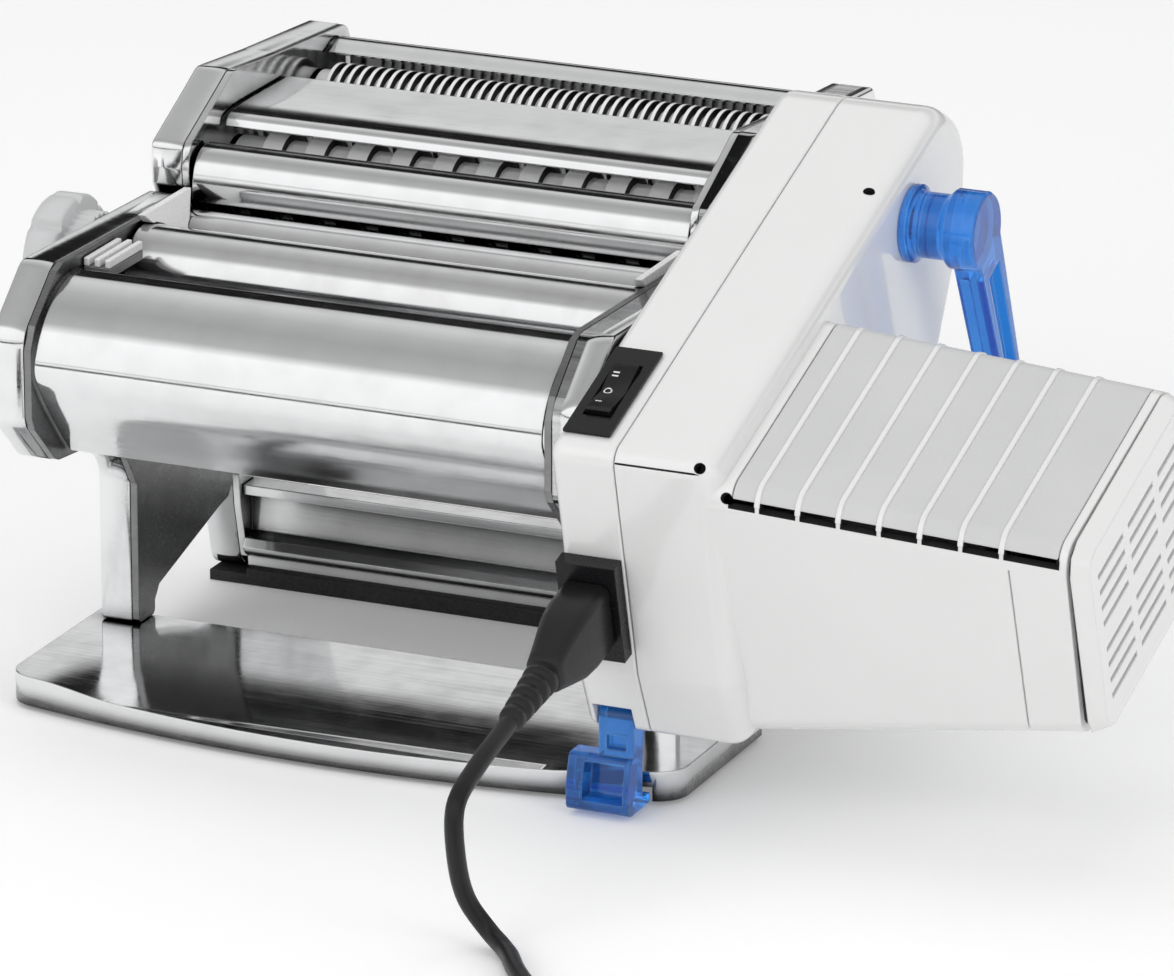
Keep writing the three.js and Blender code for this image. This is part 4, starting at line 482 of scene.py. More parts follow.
def carve(piece, *tools, operation="DIFFERENCE"):
    """Cuts the tools out of the piece, or joins them to it, and keeps the result as its mesh."""
    for tool in tools:
        cut = piece.modifiers.new(tool.name, "BOOLEAN")
        cut.operation = operation
        cut.object = tool
        cut.solver = "EXACT"
        cut.material_mode = "TRANSFER"
    bpy.context.view_layer.update()
    made = bpy.data.meshes.new_from_object(piece.evaluated_get(bpy.context.evaluated_depsgraph_get()))
    piece.modifiers.clear()
    piece.data = made
    for tool in tools:
        bpy.data.objects.remove(tool)
    return piece


BASE_LEFT = -16
BASE_RIGHT = 183.6
BASE_FRONT = -49
BASE_BOW = 12
BASE_LIP = 1.2
BASE_TOP = 9.5
BOW_STEPS = 24
FRONT_CORNER = 9
REAR_CORNER = 0.8
PAN_SHEET = 1
PAN_EDGE = 2.4
CROWN_START = -18  # the pan's top falls away in front of this line
CROWN_FALL = 2.4
CROWN_STEPS = 10
CROWN_ENDS = (10, 36)  # and it fades out towards both ends, between these distances from them
NOTCH_LEFT = 158.1  # the latch's foot leaves the pan through this gap in its lip
NOTCH_RIGHT = 176.7
NOTCH_BACK = -45
NOTCH_FRONT = -66
NOTCH_TOP = 5.2
outline = [(BASE_LEFT, BASE_REAR, REAR_CORNER), (BASE_LEFT, BASE_FRONT, FRONT_CORNER)]
for i in range(1, BOW_STEPS):
    share = i / BOW_STEPS
    bow = BASE_BOW * (1 - (2 * share - 1) ** 2)
    outline.append((BASE_LEFT + share * (BASE_RIGHT - BASE_LEFT), BASE_FRONT - bow))
outline += [(BASE_RIGHT, BASE_FRONT, FRONT_CORNER), (BASE_RIGHT, BASE_REAR, REAR_CORNER)]
base_rings = [[at(x, y, z) for x, y in rounded(outline)] for z in (BASE_LIP, BASE_TOP)]
base_pan = skin("base_pan", base_rings, chrome, ends=(False, True))
crowned = bmesh.new()
crowned.from_mesh(base_pan.data)
crown_depth = CROWN_START - (BASE_FRONT - BASE_BOW)
for i in range(CROWN_STEPS):
    fold = at(0, CROWN_START - crown_depth * i / CROWN_STEPS, 0)
    everything = [*crowned.verts, *crowned.edges, *crowned.faces]
    bmesh.ops.bisect_plane(crowned, geom=everything, plane_co=fold, plane_no=(0, 1, 0))
for i in range(CROWN_STEPS + 1):
    in_from_end = CROWN_ENDS[0] + (CROWN_ENDS[1] - CROWN_ENDS[0]) * i / CROWN_STEPS
    for x in (BASE_LEFT + in_from_end, BASE_RIGHT - in_from_end):
        everything = [*crowned.verts, *crowned.edges, *crowned.faces]
        bmesh.ops.bisect_plane(crowned, geom=everything, plane_co=at(x, 0, 0), plane_no=(1, 0, 0))
for corner in crowned.verts:
    forward = (at(0, CROWN_START, 0).y - corner.co.y) / MM / crown_depth
    in_from_end = min(corner.co.x - at(BASE_LEFT, 0, 0).x, at(BASE_RIGHT, 0, 0).x - corner.co.x) / MM
    if forward > 0 and corner.co.z > BASE_LIP * 2 * MM:
        corner.co.z -= CROWN_FALL * forward ** 2 * smoothstep(in_from_end, *CROWN_ENDS) * MM
crowned.to_mesh(base_pan.data)
crowned.free()
ease(base_pan, PAN_EDGE * MM, 6, 50)
hollow(base_pan, PAN_SHEET * MM)
notch = [
    (NOTCH_LEFT, NOTCH_FRONT), (NOTCH_RIGHT, NOTCH_FRONT),
    (NOTCH_RIGHT, NOTCH_BACK), (NOTCH_LEFT, NOTCH_BACK),
]
latch_notch = skin("latch_notch", [[at(x, y, z) for x, y in notch] for z in (0, NOTCH_TOP)], chrome)
carve(base_pan, latch_notch)
dress(base_pan, "frame", "chrome", "base_plate")

rubber = moulded("foot_rubber", (0.012, 0.012, 0.013), (0.06, 0.06, 0.06), (0.6, 0.85), 0.9 * MM, 0.12 * MM)
for name in ("base_front_strip", "base_rear_strip"):
    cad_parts[name].data.materials[0] = rubber


# The plug's two round pins, turned from nickel-plated brass, and the tie round the coil: a strip of
# black rubber pulled tight round its turns.
PIN_APART = 9.5
PIN = [
    (RELIEF_LENGTH + 26.5, 2, 2, 1.96),
    (RELIEF_LENGTH + 44, 2, 2, 1.96),
    (RELIEF_LENGTH + 45.5, 1.4, 1.4, 1.37),
]
pin_metal = metal(
    "nickel_pins", (0.75, 0.73, 0.68), (0.6, 0.58, 0.53), (0.2, 0.3),
    20 * MM, 0.5 * MM, 0.004 * MM, 0.02 * MM,
)
for name, side in (("left_pin", -1), ("right_pin", 1)):
    foot = cord_points[-1] + coil_side * side * PIN_APART * MM
    pin = lengthwise(name, foot, coil_heading, coil_side, PIN, pin_metal)
    dress(pin, "frame", "steel")

TIE_WIDTH = 7
TIE_SHEET = 0.9
TIE_TURN = math.radians(205)
TIE_HALF = 12
TIE_BELOW = 5.4
TIE_ABOVE = 6
TIE_CORNER = 3
TIE_HEIGHT = 5.45
tie_out = Vector((math.cos(TIE_TURN), math.sin(TIE_TURN), 0))
tie_on = Vector((-tie_out.y, tie_out.x, 0))
tie_middle = coil_centre + tie_out * COIL_MIDDLE
tie_middle.z = TIE_HEIGHT * MM
tie_corners = [(-TIE_HALF, -TIE_BELOW), (TIE_HALF, -TIE_BELOW), (TIE_HALF, TIE_ABOVE), (-TIE_HALF, TIE_ABOVE)]
tie_outline = rounded([(*corner, TIE_CORNER) for corner in tie_corners], 6)
tie_rings = []
for edge in (-TIE_WIDTH / 2, TIE_WIDTH / 2):
    middle = tie_middle + tie_on * edge * MM
    tie_rings.append([middle + tie_out * p.x * MM + Vector((0, 0, p.y * MM)) for p in tie_outline])
tie = skin("coil_tie", tie_rings, cord_rubber, ends=(False, False))
hollow(tie, TIE_SHEET * MM)
dress(tie, "frame", "rubber")


# Side cheeks of the rolling head and of the cutter unit: a pressed chrome pan with a rolled edge over
# a flat steel plate, both cut to one outline and joined at the legs.
CHEEK_FRONT = -62
CHEEK_BOTTOM = 9.8
CHEEK_DEPTH = 122
CHEEK_TOP = 126.5
CHEEK_SHARES = [
    (0.508, 0, 0.009), (0.508, 0.404, 0.086), (0.287, 0.516, 0.051), (0.115, 0.533, 0.034), (0, 0.653, 0.043),
    (0, 0.867, 0.069), (0.148, 1, 0.051), (0.791, 0.983, 0.02), (0.844, 0.884, 0.03), (1, 0.859, 0.02),
    (1, 0.173, 0.03), (0.934, 0.16, 0.02), (0.59, 0.059, 0.034), (0.59, 0, 0.009),
]
CUTTER_FRONT = 35
CUTTER_BOTTOM = 3.3
CUTTER_DEPTH = 106
CUTTER_TOP = 152.5
CUTTER_SHARES = [
    (0, 0.856, 0.013), (0.006, 0.903, 0.02), (0.195, 0.97, 0.02), (0.277, 1, 0.034), (0.547, 0.983, 0.027),
    (0.972, 0.963, 0.02), (1, 0.923, 0.02), (1, 0.729, 0.054), (0.783, 0.246, 0.1), (0.651, 0, 0.04),
    (0.33, 0, 0.04), (0.283, 0.139, 0.04), (0.25, 0.38, 0.04), (0.25, 0.722, 0.02), (0.069, 0.742, 0.02),
    (0.004, 0.824, 0.02),
]
PLATE = 2
CHEEK = 12
CHEEK_SHEET = 1
CHEEK_EDGE = 1.8
WORK_WIDTH = 150.6


def from_shares(shares, front, bottom, depth, height):
    return rounded([(front + a * depth, bottom + b * height, r * height) for a, b, r in shares])


def cheek_pan(name, outline, plate_side, out, node):
    """A pan whose rim stands on the frame plate and whose face is the machine's outer side."""
    rim = plate_side + out * (PLATE + SEAT)
    face = plate_side + out * CHEEK
    rings = [[at(x, y, z) for y, z in outline] for x in (rim, face)]
    pan = skin(name, rings, chrome, ends=(False, True))
    ease(pan, CHEEK_EDGE * MM, 5, 60)
    hollow(pan, CHEEK_SHEET * MM)
    return dress(pan, "frame", "chrome", node)


cheek_height = CHEEK_TOP - CHEEK_BOTTOM
cutter_height = CUTTER_TOP - CUTTER_BOTTOM
cheek_outline = from_shares(CHEEK_SHARES, CHEEK_FRONT, CHEEK_BOTTOM, CHEEK_DEPTH, cheek_height)
cutter_outline = from_shares(CUTTER_SHARES, CUTTER_FRONT, CUTTER_BOTTOM, CUTTER_DEPTH, cutter_height)
for side, plate_side, out in (("left", 0, -1), ("right", WORK_WIDTH, 1)):
    cheek_pan(f"{side}_cheek", cheek_outline, plate_side, out, f"{side}_side_shell")
    cheek_pan(f"cutter_{side}_cheek", cutter_outline, plate_side, out, f"cutter_{side}_shell")

plate_steel = metal(
    "plate_steel", (0.27, 0.272, 0.276), (0.2, 0.2, 0.2), (0.22, 0.4), 30 * MM, 0.5 * MM, 0.01 * MM, 0.1 * MM,
)
for name in ("left_frame_plate", "right_frame_plate"):
    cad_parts[name].data.materials[0] = plate_steel


# Front cover: a strip of chromed sheet bent to a curve over the front roller, with bright cut edges.
# Its ends are held between the cheeks. The cutter covers are bent from the same sheet.
COVER_SHEET = 1
COVER_END_GAP = 0.8
COVER_SHARES = [
    (0.215, 0.968), (0.17, 0.961), (0.115, 0.938), (0.057, 0.893), (0.018, 0.835), (0.006, 0.781),
    (0.041, 0.713), (0.131, 0.593), (0.172, 0.545),
]


def bent_sheet(name, corners, spans, node):
    """A strip of sheet bent along a smooth line through its corners, as long as the rollers."""
    bend = curve_through([Vector((y, z, 0)) for y, z in corners], spans)
    sides = []
    for sign in (1, -1):
        side = []
        for i, here in enumerate(bend):
            on = (bend[min(i + 1, len(bend) - 1)] - bend[max(i - 1, 0)]).normalized()
            side.append(here + Vector((-on.y, on.x, 0)) * sign * COVER_SHEET / 2)
        sides.append(side)
    section = [*sides[0], *reversed(sides[1])]
    ends = (COVER_END_GAP, WORK_WIDTH - COVER_END_GAP)
    sheet = skin(name, [[at(x, p.x, p.y) for p in section] for x in ends], chrome)
    ease(sheet, 0.3 * MM, 2, 50)
    return dress(sheet, "frame", "chrome", node)


cover_line = [(CHEEK_FRONT + a * CHEEK_DEPTH, CHEEK_BOTTOM + b * cheek_height) for a, b in COVER_SHARES]
bent_sheet("front_cover_sheet", cover_line, 6, "front_cover")


# Smooth rollers: ground and polished steel bars with turned-down shafts. The front one rides in
# sliding blocks, so it has a body of its own. Their gears are dark oiled steel.
ROLLER_RADIUS = 12.5
ROLLER_SHAFT = 5
ROLLER_GAP = 0.8
SHAFT_LEFT = -4.4
REAR_AXIS = (29.8, 109.2)
ROLLER_SPACING = 25.45
ROLLER_RISE = 2.8
FRONT_AXIS = (REAR_AXIS[0] - math.sqrt(ROLLER_SPACING**2 - ROLLER_RISE**2), REAR_AXIS[1] + ROLLER_RISE)


def turned(name, profile, axis, finish, sides=96):
    """A body turned about an axis along the rollers, from its profile of places and radii."""
    rings = []
    for x, radius in profile:
        swing = [2 * math.pi * k / sides for k in range(sides)]
        rings.append([at(x, axis[0] + radius * math.cos(a), axis[1] + radius * math.sin(a)) for a in swing])
    return skin(name, rings, finish)


# The rollers take more of the painted gap shade, which draws a dark line along their nip.
polished = metal(
    "ground_steel", (0.8, 0.805, 0.81), (0.72, 0.72, 0.725), (0.07, 0.15),
    90 * MM, 0.6 * MM, 0.003 * MM, 0.03 * MM, open_share=0.85,
)
for node, axis, shaft_end in (("rear_roller", REAR_AXIS, 161.3), ("front_roller", FRONT_AXIS, 171.5)):
    roller_right = WORK_WIDTH - ROLLER_GAP
    profile = [
        (SHAFT_LEFT, ROLLER_SHAFT), (ROLLER_GAP, ROLLER_SHAFT), (ROLLER_GAP, ROLLER_RADIUS),
        (roller_right, ROLLER_RADIUS), (roller_right, ROLLER_SHAFT), (shaft_end, ROLLER_SHAFT),
    ]
    roller = turned(node.replace("_", "_smooth_"), profile, axis, polished)
    ease(roller, 0.5 * MM, 3, 50)
    dress(roller, f"{node}_body", "steel", node)


WELD_REACH = 0.005
SHARP_ANGLE = math.radians(34)


def finish_nodes(finish, *nodes):
    """Gives CAD pieces that are seen as they are their finish, with smooth round faces."""
    for name in nodes:
        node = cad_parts[name]
        node.data.materials.clear()
        node.data.materials.append(finish)
        node.data.polygons.foreach_set("use_smooth", [True] * len(node.data.polygons))
        node.modifiers.new("one_skin", "WELD").merge_threshold = WELD_REACH * MM
        node.modifiers.new("creases", "EDGE_SPLIT").split_angle = SHARP_ANGLE
        node.modifiers.new("even_light", "WEIGHTED_NORMAL")


dark_steel = metal(
    "dark_steel", (0.16, 0.163, 0.166), (0.1, 0.1, 0.1), (0.3, 0.5), 3 * MM, 0.6 * MM, 0.02 * MM, 0.05 * MM,
)
finish_nodes(dark_steel, "rear_roller_gear", "front_roller_gear", "idler_gear_front", "idler_gear_rear")
finish_nodes(plate_steel, "tie_rod", "rear_scraper", "front_scraper")

nylon = moulded("gear_nylon", (0.8, 0.76, 0.64), (0.88, 0.85, 0.76), (0.4, 0.55), 0.7 * MM, 0.03 * MM)
finish_nodes(nylon, "front_block_left", "front_block_right", "rear_bush_left", "rear_bush_right")


# Feed guides and roller guard: white mouldings clipped to the cheeks, and under the guard's white ribs a
# near-black floor, painted shade between them. The guides are wedges in the valley between the rollers, and
# the guard's ribs close the gap in front of the left end.
guide_white = moulded("guide_white", (0.84, 0.84, 0.835), (0.9, 0.9, 0.9), (0.22, 0.34), 0.6 * MM, 0.02 * MM)
finish_nodes(guide_white, "left_feed_guide", "right_feed_guide")

GUARD_FRONT = -30.5
GUARD_REAR = -10.4
GUARD_WIDTH = 8
GUARD_TOP = 123.5
GUARD_SHEET = 4
GUARD_RIBS = 3
GUARD_RIB_PITCH = 3.2
GUARD_RIB_WIDTH = 1.6
GUARD_RIB_RISE = 1.2
# Painted shade: the guard's floor is near-black, so that the gaps between its white ribs read dark.
guard_gap_shade = moulded("guard_gap_shade", (0.13, 0.13, 0.132), (0.3, 0.3, 0.3), (0.3, 0.42), 0.6 * MM, 0.03 * MM)


def guard_bar(name, left, width, bottom, top, edge, finish):
    """A straight bar from the guard's front to its rear, with eased edges."""
    corners = [(GUARD_FRONT, bottom), (GUARD_REAR, bottom), (GUARD_REAR, top), (GUARD_FRONT, top)]
    piece = skin(name, [[at(x, y, z) for y, z in corners] for x in (left, left + width)], finish)
    return ease(piece, edge * MM, 3, 40)


rib_bottom = GUARD_TOP - GUARD_RIB_RISE
guard = guard_bar("guard_floor", SEAT, GUARD_WIDTH, GUARD_TOP - GUARD_SHEET, rib_bottom, 0.3, guard_gap_shade)
dress(guard, "frame", "light_plastic", "roller_end_guard")
for i in range(GUARD_RIBS):
    rib_left = SEAT + i * GUARD_RIB_PITCH
    rib_top = GUARD_TOP + GUARD_RIB_RISE
    rib = guard_bar("guard_rib", rib_left, GUARD_RIB_WIDTH, rib_bottom, rib_top, 0.4, guide_white)
    dress(rib, "frame", "white_plastic")


# Thickness knob: a moulded grey disc with eight thumb notches on a fluted neck, pressed on the
# spindle that moves the front roller's blocks.
KNOB = {"left": -28.3, "grip": -18.3, "neck": -12.3, "end": -5.0}
KNOB_RADIUS = 18
NECK_RADIUS = 14
SPINDLE_RADIUS = 8
KNOB_SIDES = 192
THUMB_NOTCHES = 8
THUMB_NOTCH_SHARE = 0.24
FLUTES = 32


def knob_ring(x, radius, notch, flute):
    """One ring of the knob, with thumb notches and flutes of the given depths."""
    ring = []
    for k in range(KNOB_SIDES):
        turn = 2 * math.pi * k / KNOB_SIDES
        beside = abs((turn * THUMB_NOTCHES / (2 * math.pi) + 0.5) % 1 - 0.5) * 2
        notched = notch * max(1 - (beside / THUMB_NOTCH_SHARE) ** 2, 0)
        out = radius - notched - flute * (0.5 - 0.5 * math.cos(turn * FLUTES))
        ring.append(at(x, FRONT_AXIS[0] + out * math.cos(turn), FRONT_AXIS[1] + out * math.sin(turn)))
    return ring


knob_grey = moulded("knob_grey", (0.6, 0.605, 0.61), (0.74, 0.74, 0.745), (0.28, 0.4), 0.6 * MM, 0.03 * MM)
knob_stations = [
    (KNOB["left"], KNOB_RADIUS - 2.6, 0.2, 0), (KNOB["left"] + 0.5, KNOB_RADIUS - 1.2, 0.8, 0),
    (KNOB["left"] + 2, KNOB_RADIUS, 1.6, 0), (KNOB["grip"] - 1, KNOB_RADIUS, 1.6, 0),
    (KNOB["grip"], KNOB_RADIUS - 0.8, 1.2, 0), (KNOB["grip"], NECK_RADIUS, 0, 0.9),
    (KNOB["neck"], NECK_RADIUS, 0, 0.9), (KNOB["neck"], SPINDLE_RADIUS, 0, 0),
    (KNOB["end"], SPINDLE_RADIUS, 0, 0),
]
knob = skin("knob_body", [knob_ring(*station) for station in knob_stations], knob_grey)
ease(knob, 0.3 * MM, 2, 60)
dress(knob, "knob", "light_plastic", "thickness_knob")


# Cutter rollers: steel shafts with square grooves turned in them, eleven wide discs and forty-five
# fine ones. The discs of one roller run in the grooves of the other, and gears at the right turn them.
CUTTER_OUTER = 10.6
CUTTER_CORE = 8.2
CUTTER_SHAFT = 4
CUTTER_SPACING = 19.2
WIDE_NIP = (57.6, 124.691)
FINE_NIP = (110, 130)
wide_axes = [(WIDE_NIP[0] + side * CUTTER_SPACING / 2, WIDE_NIP[1]) for side in (-1, 1)]
fine_axes = [(FINE_NIP[0] + side * CUTTER_SPACING / 2, FINE_NIP[1]) for side in (-1, 1)]
WIDE = {"pitch": 13, "discs": 11}
FINE = {"pitch": 3.12, "discs": 45}
DISCS_START = 3.9
DISC_SIDE_GAP = 0.3
BAY_GEAR = (154.2, 160.0)
LAYER_TWO = (171.5, 175.5)
LAYER_THREE = (176.5, 180.5)
TEETH = 10
ROOT_SHARE = 0.235  # half a tooth's width at its root and at its tip, as shares of the pitch
TIP_SHARE = 0.11
TRANSFER_TOOTH = (1.5, 1.9)  # the height of a tooth above and below the pitch circle
PAIR_TOOTH = (1.3, 1.6)


def cutter_profile(kind, offset, right_end):
    wide = kind["pitch"] / 2 - DISC_SIDE_GAP
    steps = [(SHAFT_LEFT, CUTTER_SHAFT), (ROLLER_GAP, CUTTER_SHAFT), (ROLLER_GAP, CUTTER_CORE)]
    for i in range(kind["discs"]):
        x = DISCS_START + offset * kind["pitch"] + i * kind["pitch"]
        steps += [(x, CUTTER_CORE), (x, CUTTER_OUTER), (x + wide, CUTTER_OUTER), (x + wide, CUTTER_CORE)]
    steps += [(WORK_WIDTH - ROLLER_GAP, CUTTER_CORE), (WORK_WIDTH - ROLLER_GAP, CUTTER_SHAFT)]
    return [*steps, (right_end, CUTTER_SHAFT)]


def mesh_phase(phase, centre, next_centre):
    """The phase of a gear that meshes with another of as many teeth."""
    towards = math.atan2(next_centre[1] - centre[1], next_centre[0] - centre[0])
    return towards + math.pi + (towards - phase) + math.pi / TEETH


def toothed(name, pitch, tooth, phase, ends, axis):
    """A straight-flanked gear of ten teeth about an axis along the rollers."""
    tip = pitch + tooth[0]
    root = pitch - tooth[1]
    flanks = ((root, -ROOT_SHARE), (tip, -TIP_SHARE), (tip, TIP_SHARE), (root, ROOT_SHARE))
    corners = []
    for i in range(TEETH):
        for radius, share in flanks:
            turn = phase + (i + share) * 2 * math.pi / TEETH
            corners.append((axis[0] + radius * math.cos(turn), axis[1] + radius * math.sin(turn)))
    gear = skin(name, [[at(x, y, z) for y, z in corners] for x in ends], dark_steel)
    return ease(gear, 0.3 * MM, 2, 25)


# Painted light: the cutter discs are near-white with little metal, so that they stay bright in the slot's
# shade, and they take almost none of the painted gap shade.
cutter_steel = metal(
    "cutter_steel", (0.95, 0.952, 0.955), (0.9, 0.9, 0.905), (0.16, 0.26),
    60 * MM, 0.8 * MM, 0.003 * MM, 0.02 * MM, open_share=0.03, metallic=0.1,
)
# Painted shade: a darker copy of the cutter steel, for the front wide cutter.
shaded_steel = metal(
    "shaded_cutter_steel", (0.8, 0.802, 0.805), (0.7, 0.7, 0.705), (0.16, 0.26),
    60 * MM, 0.8 * MM, 0.003 * MM, 0.02 * MM,
)
# Painted shade: near-black steel for the discs' side walls, in the grooves between the discs. The combs take
# it too.
groove_shade_steel = metal(
    "groove_shade_steel", (0.12, 0.121, 0.123), (0.08, 0.08, 0.08), (0.4, 0.6),
    10 * MM, 0.8 * MM, 0.01 * MM, 0.02 * MM,
)
pair_phase = mesh_phase(0, wide_axes[0], wide_axes[1])
between = Vector(fine_axes[0]) - Vector(wide_axes[1])
inwards = (between.length - CUTTER_SPACING) / 2
drop = math.sqrt(CUTTER_SPACING**2 - inwards**2)
onwards = between.normalized()
below = Vector((onwards.y, -onwards.x)) * drop
idlers = [Vector(wide_axes[1]) + onwards * inwards + below, Vector(fine_axes[0]) - onwards * inwards + below]
chain = [wide_axes[1], *idlers, *fine_axes]
phases = [pair_phase]
for near, far in zip(chain, chain[1:]):
    phases.append(mesh_phase(phases[-1], near, far))
pair_pitch = CUTTER_SPACING / 2
transfer_pitch = math.dist(wide_axes[0], REAR_AXIS) / 2
transfer_phase = mesh_phase(0, REAR_AXIS, wide_axes[0])
for node, body, axis, kind, offset, gears in (
    ("wide_cutter_front", "wide_front_body", wide_axes[0], WIDE, 0,
     ((transfer_pitch, TRANSFER_TOOTH, transfer_phase, LAYER_TWO), (pair_pitch, PAIR_TOOTH, 0, LAYER_THREE))),
    ("wide_cutter_rear", "wide_rear_body", wide_axes[1], WIDE, 0.5,
     ((pair_pitch, PAIR_TOOTH, pair_phase, BAY_GEAR), (pair_pitch, PAIR_TOOTH, pair_phase, LAYER_THREE))),
    ("fine_cutter_front", "fine_front_body", fine_axes[0], FINE, 0,
     ((pair_pitch, PAIR_TOOTH, phases[3], BAY_GEAR),)),
    ("fine_cutter_rear", "fine_rear_body", fine_axes[1], FINE, 0.5,
     ((pair_pitch, PAIR_TOOTH, phases[4], BAY_GEAR),)),
):
    # The front wide cutter takes the darker copy of the cutter steel: painted shade.
    steel = shaded_steel if node == "wide_cutter_front" else cutter_steel
    shaft_end = gears[-1][-1][1]
    roller = turned(f"{node}_roller", cutter_profile(kind, offset, shaft_end), axis, steel, 64)
    # The faces that look along the rollers, the discs' side walls, take the near-black steel: painted shade
    # between the discs.
    roller.data.materials.append(groove_shade_steel)
    for face in roller.data.polygons:
        face.material_index = 1 if abs(face.normal.x) > 0.5 else 0
    ease(roller, 0.25 * MM, 2, 50)
    dress(roller, body, "steel", node)
    for pitch, tooth, phase, ends in gears:
        dress(toothed(f"{node}_gear", pitch, tooth, phase, ends, axis), body, "dark_steel")
finish_nodes(groove_shade_steel, "wide_comb", "fine_comb")


# Cutter covers: three strips of chromed sheet bent to a curve and held by their ends between the
# cheeks, with a feed slot in front of and behind the middle one.
def from_axis(axis, shares):
    return [(axis[0] + a * CUTTER_OUTER, axis[1] + b * CUTTER_OUTER) for a, b in shares]


FRONT_SHARES = [(-1.17, -0.22), (-1.15, 0.3), (-1.02, 0.72), (-0.7, 1.02), (-0.14, 1.1)]
MIDDLE_SHARES = [(-0.96, 1.27), (-0.84, 1.48), (-0.49, 1.58)]
MIDDLE_END = [(-0.32, 1.12)]
REAR_SHARES = [(0.42, 1.14), (1.17, 1.36), (1.7, 1.04), (1.8, -0.47)]
middle_line = [*from_axis(wide_axes[1], MIDDLE_SHARES), *from_axis(fine_axes[0], MIDDLE_END)]
bent_sheet("wide_front_sheet", from_axis(wide_axes[0], FRONT_SHARES), 8, "cutter_front_cover")
bent_sheet("middle_sheet", middle_line, 8, "cutter_middle_cover")
bent_sheet("rear_sheet", from_axis(fine_axes[1], REAR_SHARES), 8, "cutter_rear_cover")


# Rear foot rail: a rolled steel channel between the cutter unit's two flat plates, over a black
# rubber strip that the unit stands on.
finish_nodes(polished, "rear_foot_rail", "cutter_left_plate", "cutter_right_plate")
finish_nodes(rubber, "rear_foot_strip")


# Gearbox and motor: nylon wheels on steel shafts behind a steel plate, a laminated stator and rotor
# and a black fan. They are hidden by the housing and seen only through its slots.
finish_nodes(plate_steel, "gear_plate", "drive_shaft")
finish_nodes(nylon, "drive_wheel", "intermediate_wheel")
finish_nodes(dark_steel, "motor_stator", "motor_rotor")
black_plastic = moulded(
    "black_plastic", (0.008, 0.008, 0.009), (0.03, 0.03, 0.032), (0.2, 0.3), 0.5 * MM, 0.008 * MM,
    Specular_IOR_Level=0.25,
)
finish_nodes(black_plastic, "cooling_fan")


# Drive housing: two glossy white mouldings on one tall outline, held by a screw let in their slope.
# The right one carries the tilted motor box. A groove along its nose ends in a round hole, and so do
# the vents under the motor panel.
HOUSING_X = 163.0
SEAM_X = 181.0
MOTOR_X = 210.0
MOTOR_END = 301.5
WALL = 2.5
HOUSING_SHARES = [
    (0, 0.605, 0.036), (0.883, 1, 0.114), (1, 0.925, 0.128), (0.994, 0.733, 0.085), (0.827, 0.335, 0.178),
    (0.592, 0.078, 0.142), (0.38, 0, 0.071), (0.145, 0, 0.021), (0.095, 0.135, 0.021),
]
HOUSING_FRONT = -88
HOUSING_BOTTOM = 25
HOUSING_DEPTH = 179
HOUSING_HEIGHT = 140.5
housing_corners = [
    (HOUSING_FRONT + a * HOUSING_DEPTH, HOUSING_BOTTOM + b * HOUSING_HEIGHT, r * HOUSING_HEIGHT)
    for a, b, r in HOUSING_SHARES
]
LEFT_EDGE = 3.2
RIGHT_EDGE = 6.5
SEAM_EDGE = 0.5
EDGE_STEPS = 6
LEAST_RADIUS = 0.02
deep_shade = moulded("deep_shade", (0.01, 0.01, 0.01), (0.02, 0.02, 0.02), (0.7, 0.9), 0.5 * MM, 0.01 * MM)
glossy_white = moulded(
    "glossy_white", (0.83, 0.83, 0.825), (0.88, 0.88, 0.878), (0.16, 0.26), 0.9 * MM, 0.006 * MM, 0.7 * MM,
    Coat_Weight=0.8, Coat_Roughness=0.05, Coat_IOR=1.5,
)


def inset(corners, distance):
    """Corners moved inwards by a distance, with their radii kept concentric."""
    flat = [Vector(c[:2]) for c in corners]
    area = sum(a.x * b.y - a.y * b.x for a, b in zip(flat, [*flat[1:], flat[0]]))
    sense = 1 if area > 0 else -1
    moved = []
    for i, here in enumerate(flat):
        along = (here - flat[i - 1]).normalized()
        on = (flat[(i + 1) % len(flat)] - here).normalized()
        shift = (Vector((-along.y, along.x)) + Vector((-on.y, on.x))) * sense * distance / (1 + along.dot(on))
        convex = (along.x * on.y - along.y * on.x) * sense > 0
        radius = corners[i][2] - (distance if convex else -distance)
        moved.append((here.x + shift.x, here.y + shift.y, max(radius, LEAST_RADIUS)))
    return moved


def eased_stations(x, way, edge):
    """Places along X and insets that round off one end of a body; way is -1 for its left end."""
    steps = []
    for k in range(EDGE_STEPS + 1):
        turn = math.pi / 2 * k / EDGE_STEPS
        steps.append((x - way * edge * (1 - math.sin(turn)), edge * (1 - math.cos(turn))))
    return steps if way > 0 else list(reversed(steps))


def housing_body(name, stations):
    rings = [[at(x, y, z) for y, z in rounded(inset(housing_corners, d))] for x, d in stations]
    return skin(name, rings, glossy_white)


def crease(piece, angle=30):
    """Splits the shading at sharp edges and keeps flat faces flat."""
    piece.data.polygons.foreach_set("use_smooth", [True] * len(piece.data.polygons))
    piece.modifiers.new("creases", "EDGE_SPLIT").split_angle = math.radians(angle)
    piece.modifiers.new("even_light", "WEIGHTED_NORMAL")
    return piece


def prism(name, corners, ends, finish):
    """A straight body between two places along X. A tool leaves its finish on what it cuts."""
    return skin(name, [[at(x, y, z) for y, z in corners] for x in ends], finish)


nose = Vector(housing_corners[0][:2])
slope_on = (Vector(housing_corners[1][:2]) - nose).normalized()
slope_out = Vector((-slope_on.y, slope_on.x))
face_foot = Vector(housing_corners[-1][:2])
face_on = (nose - face_foot).normalized()
face_out = Vector((-face_on.y, face_on.x))


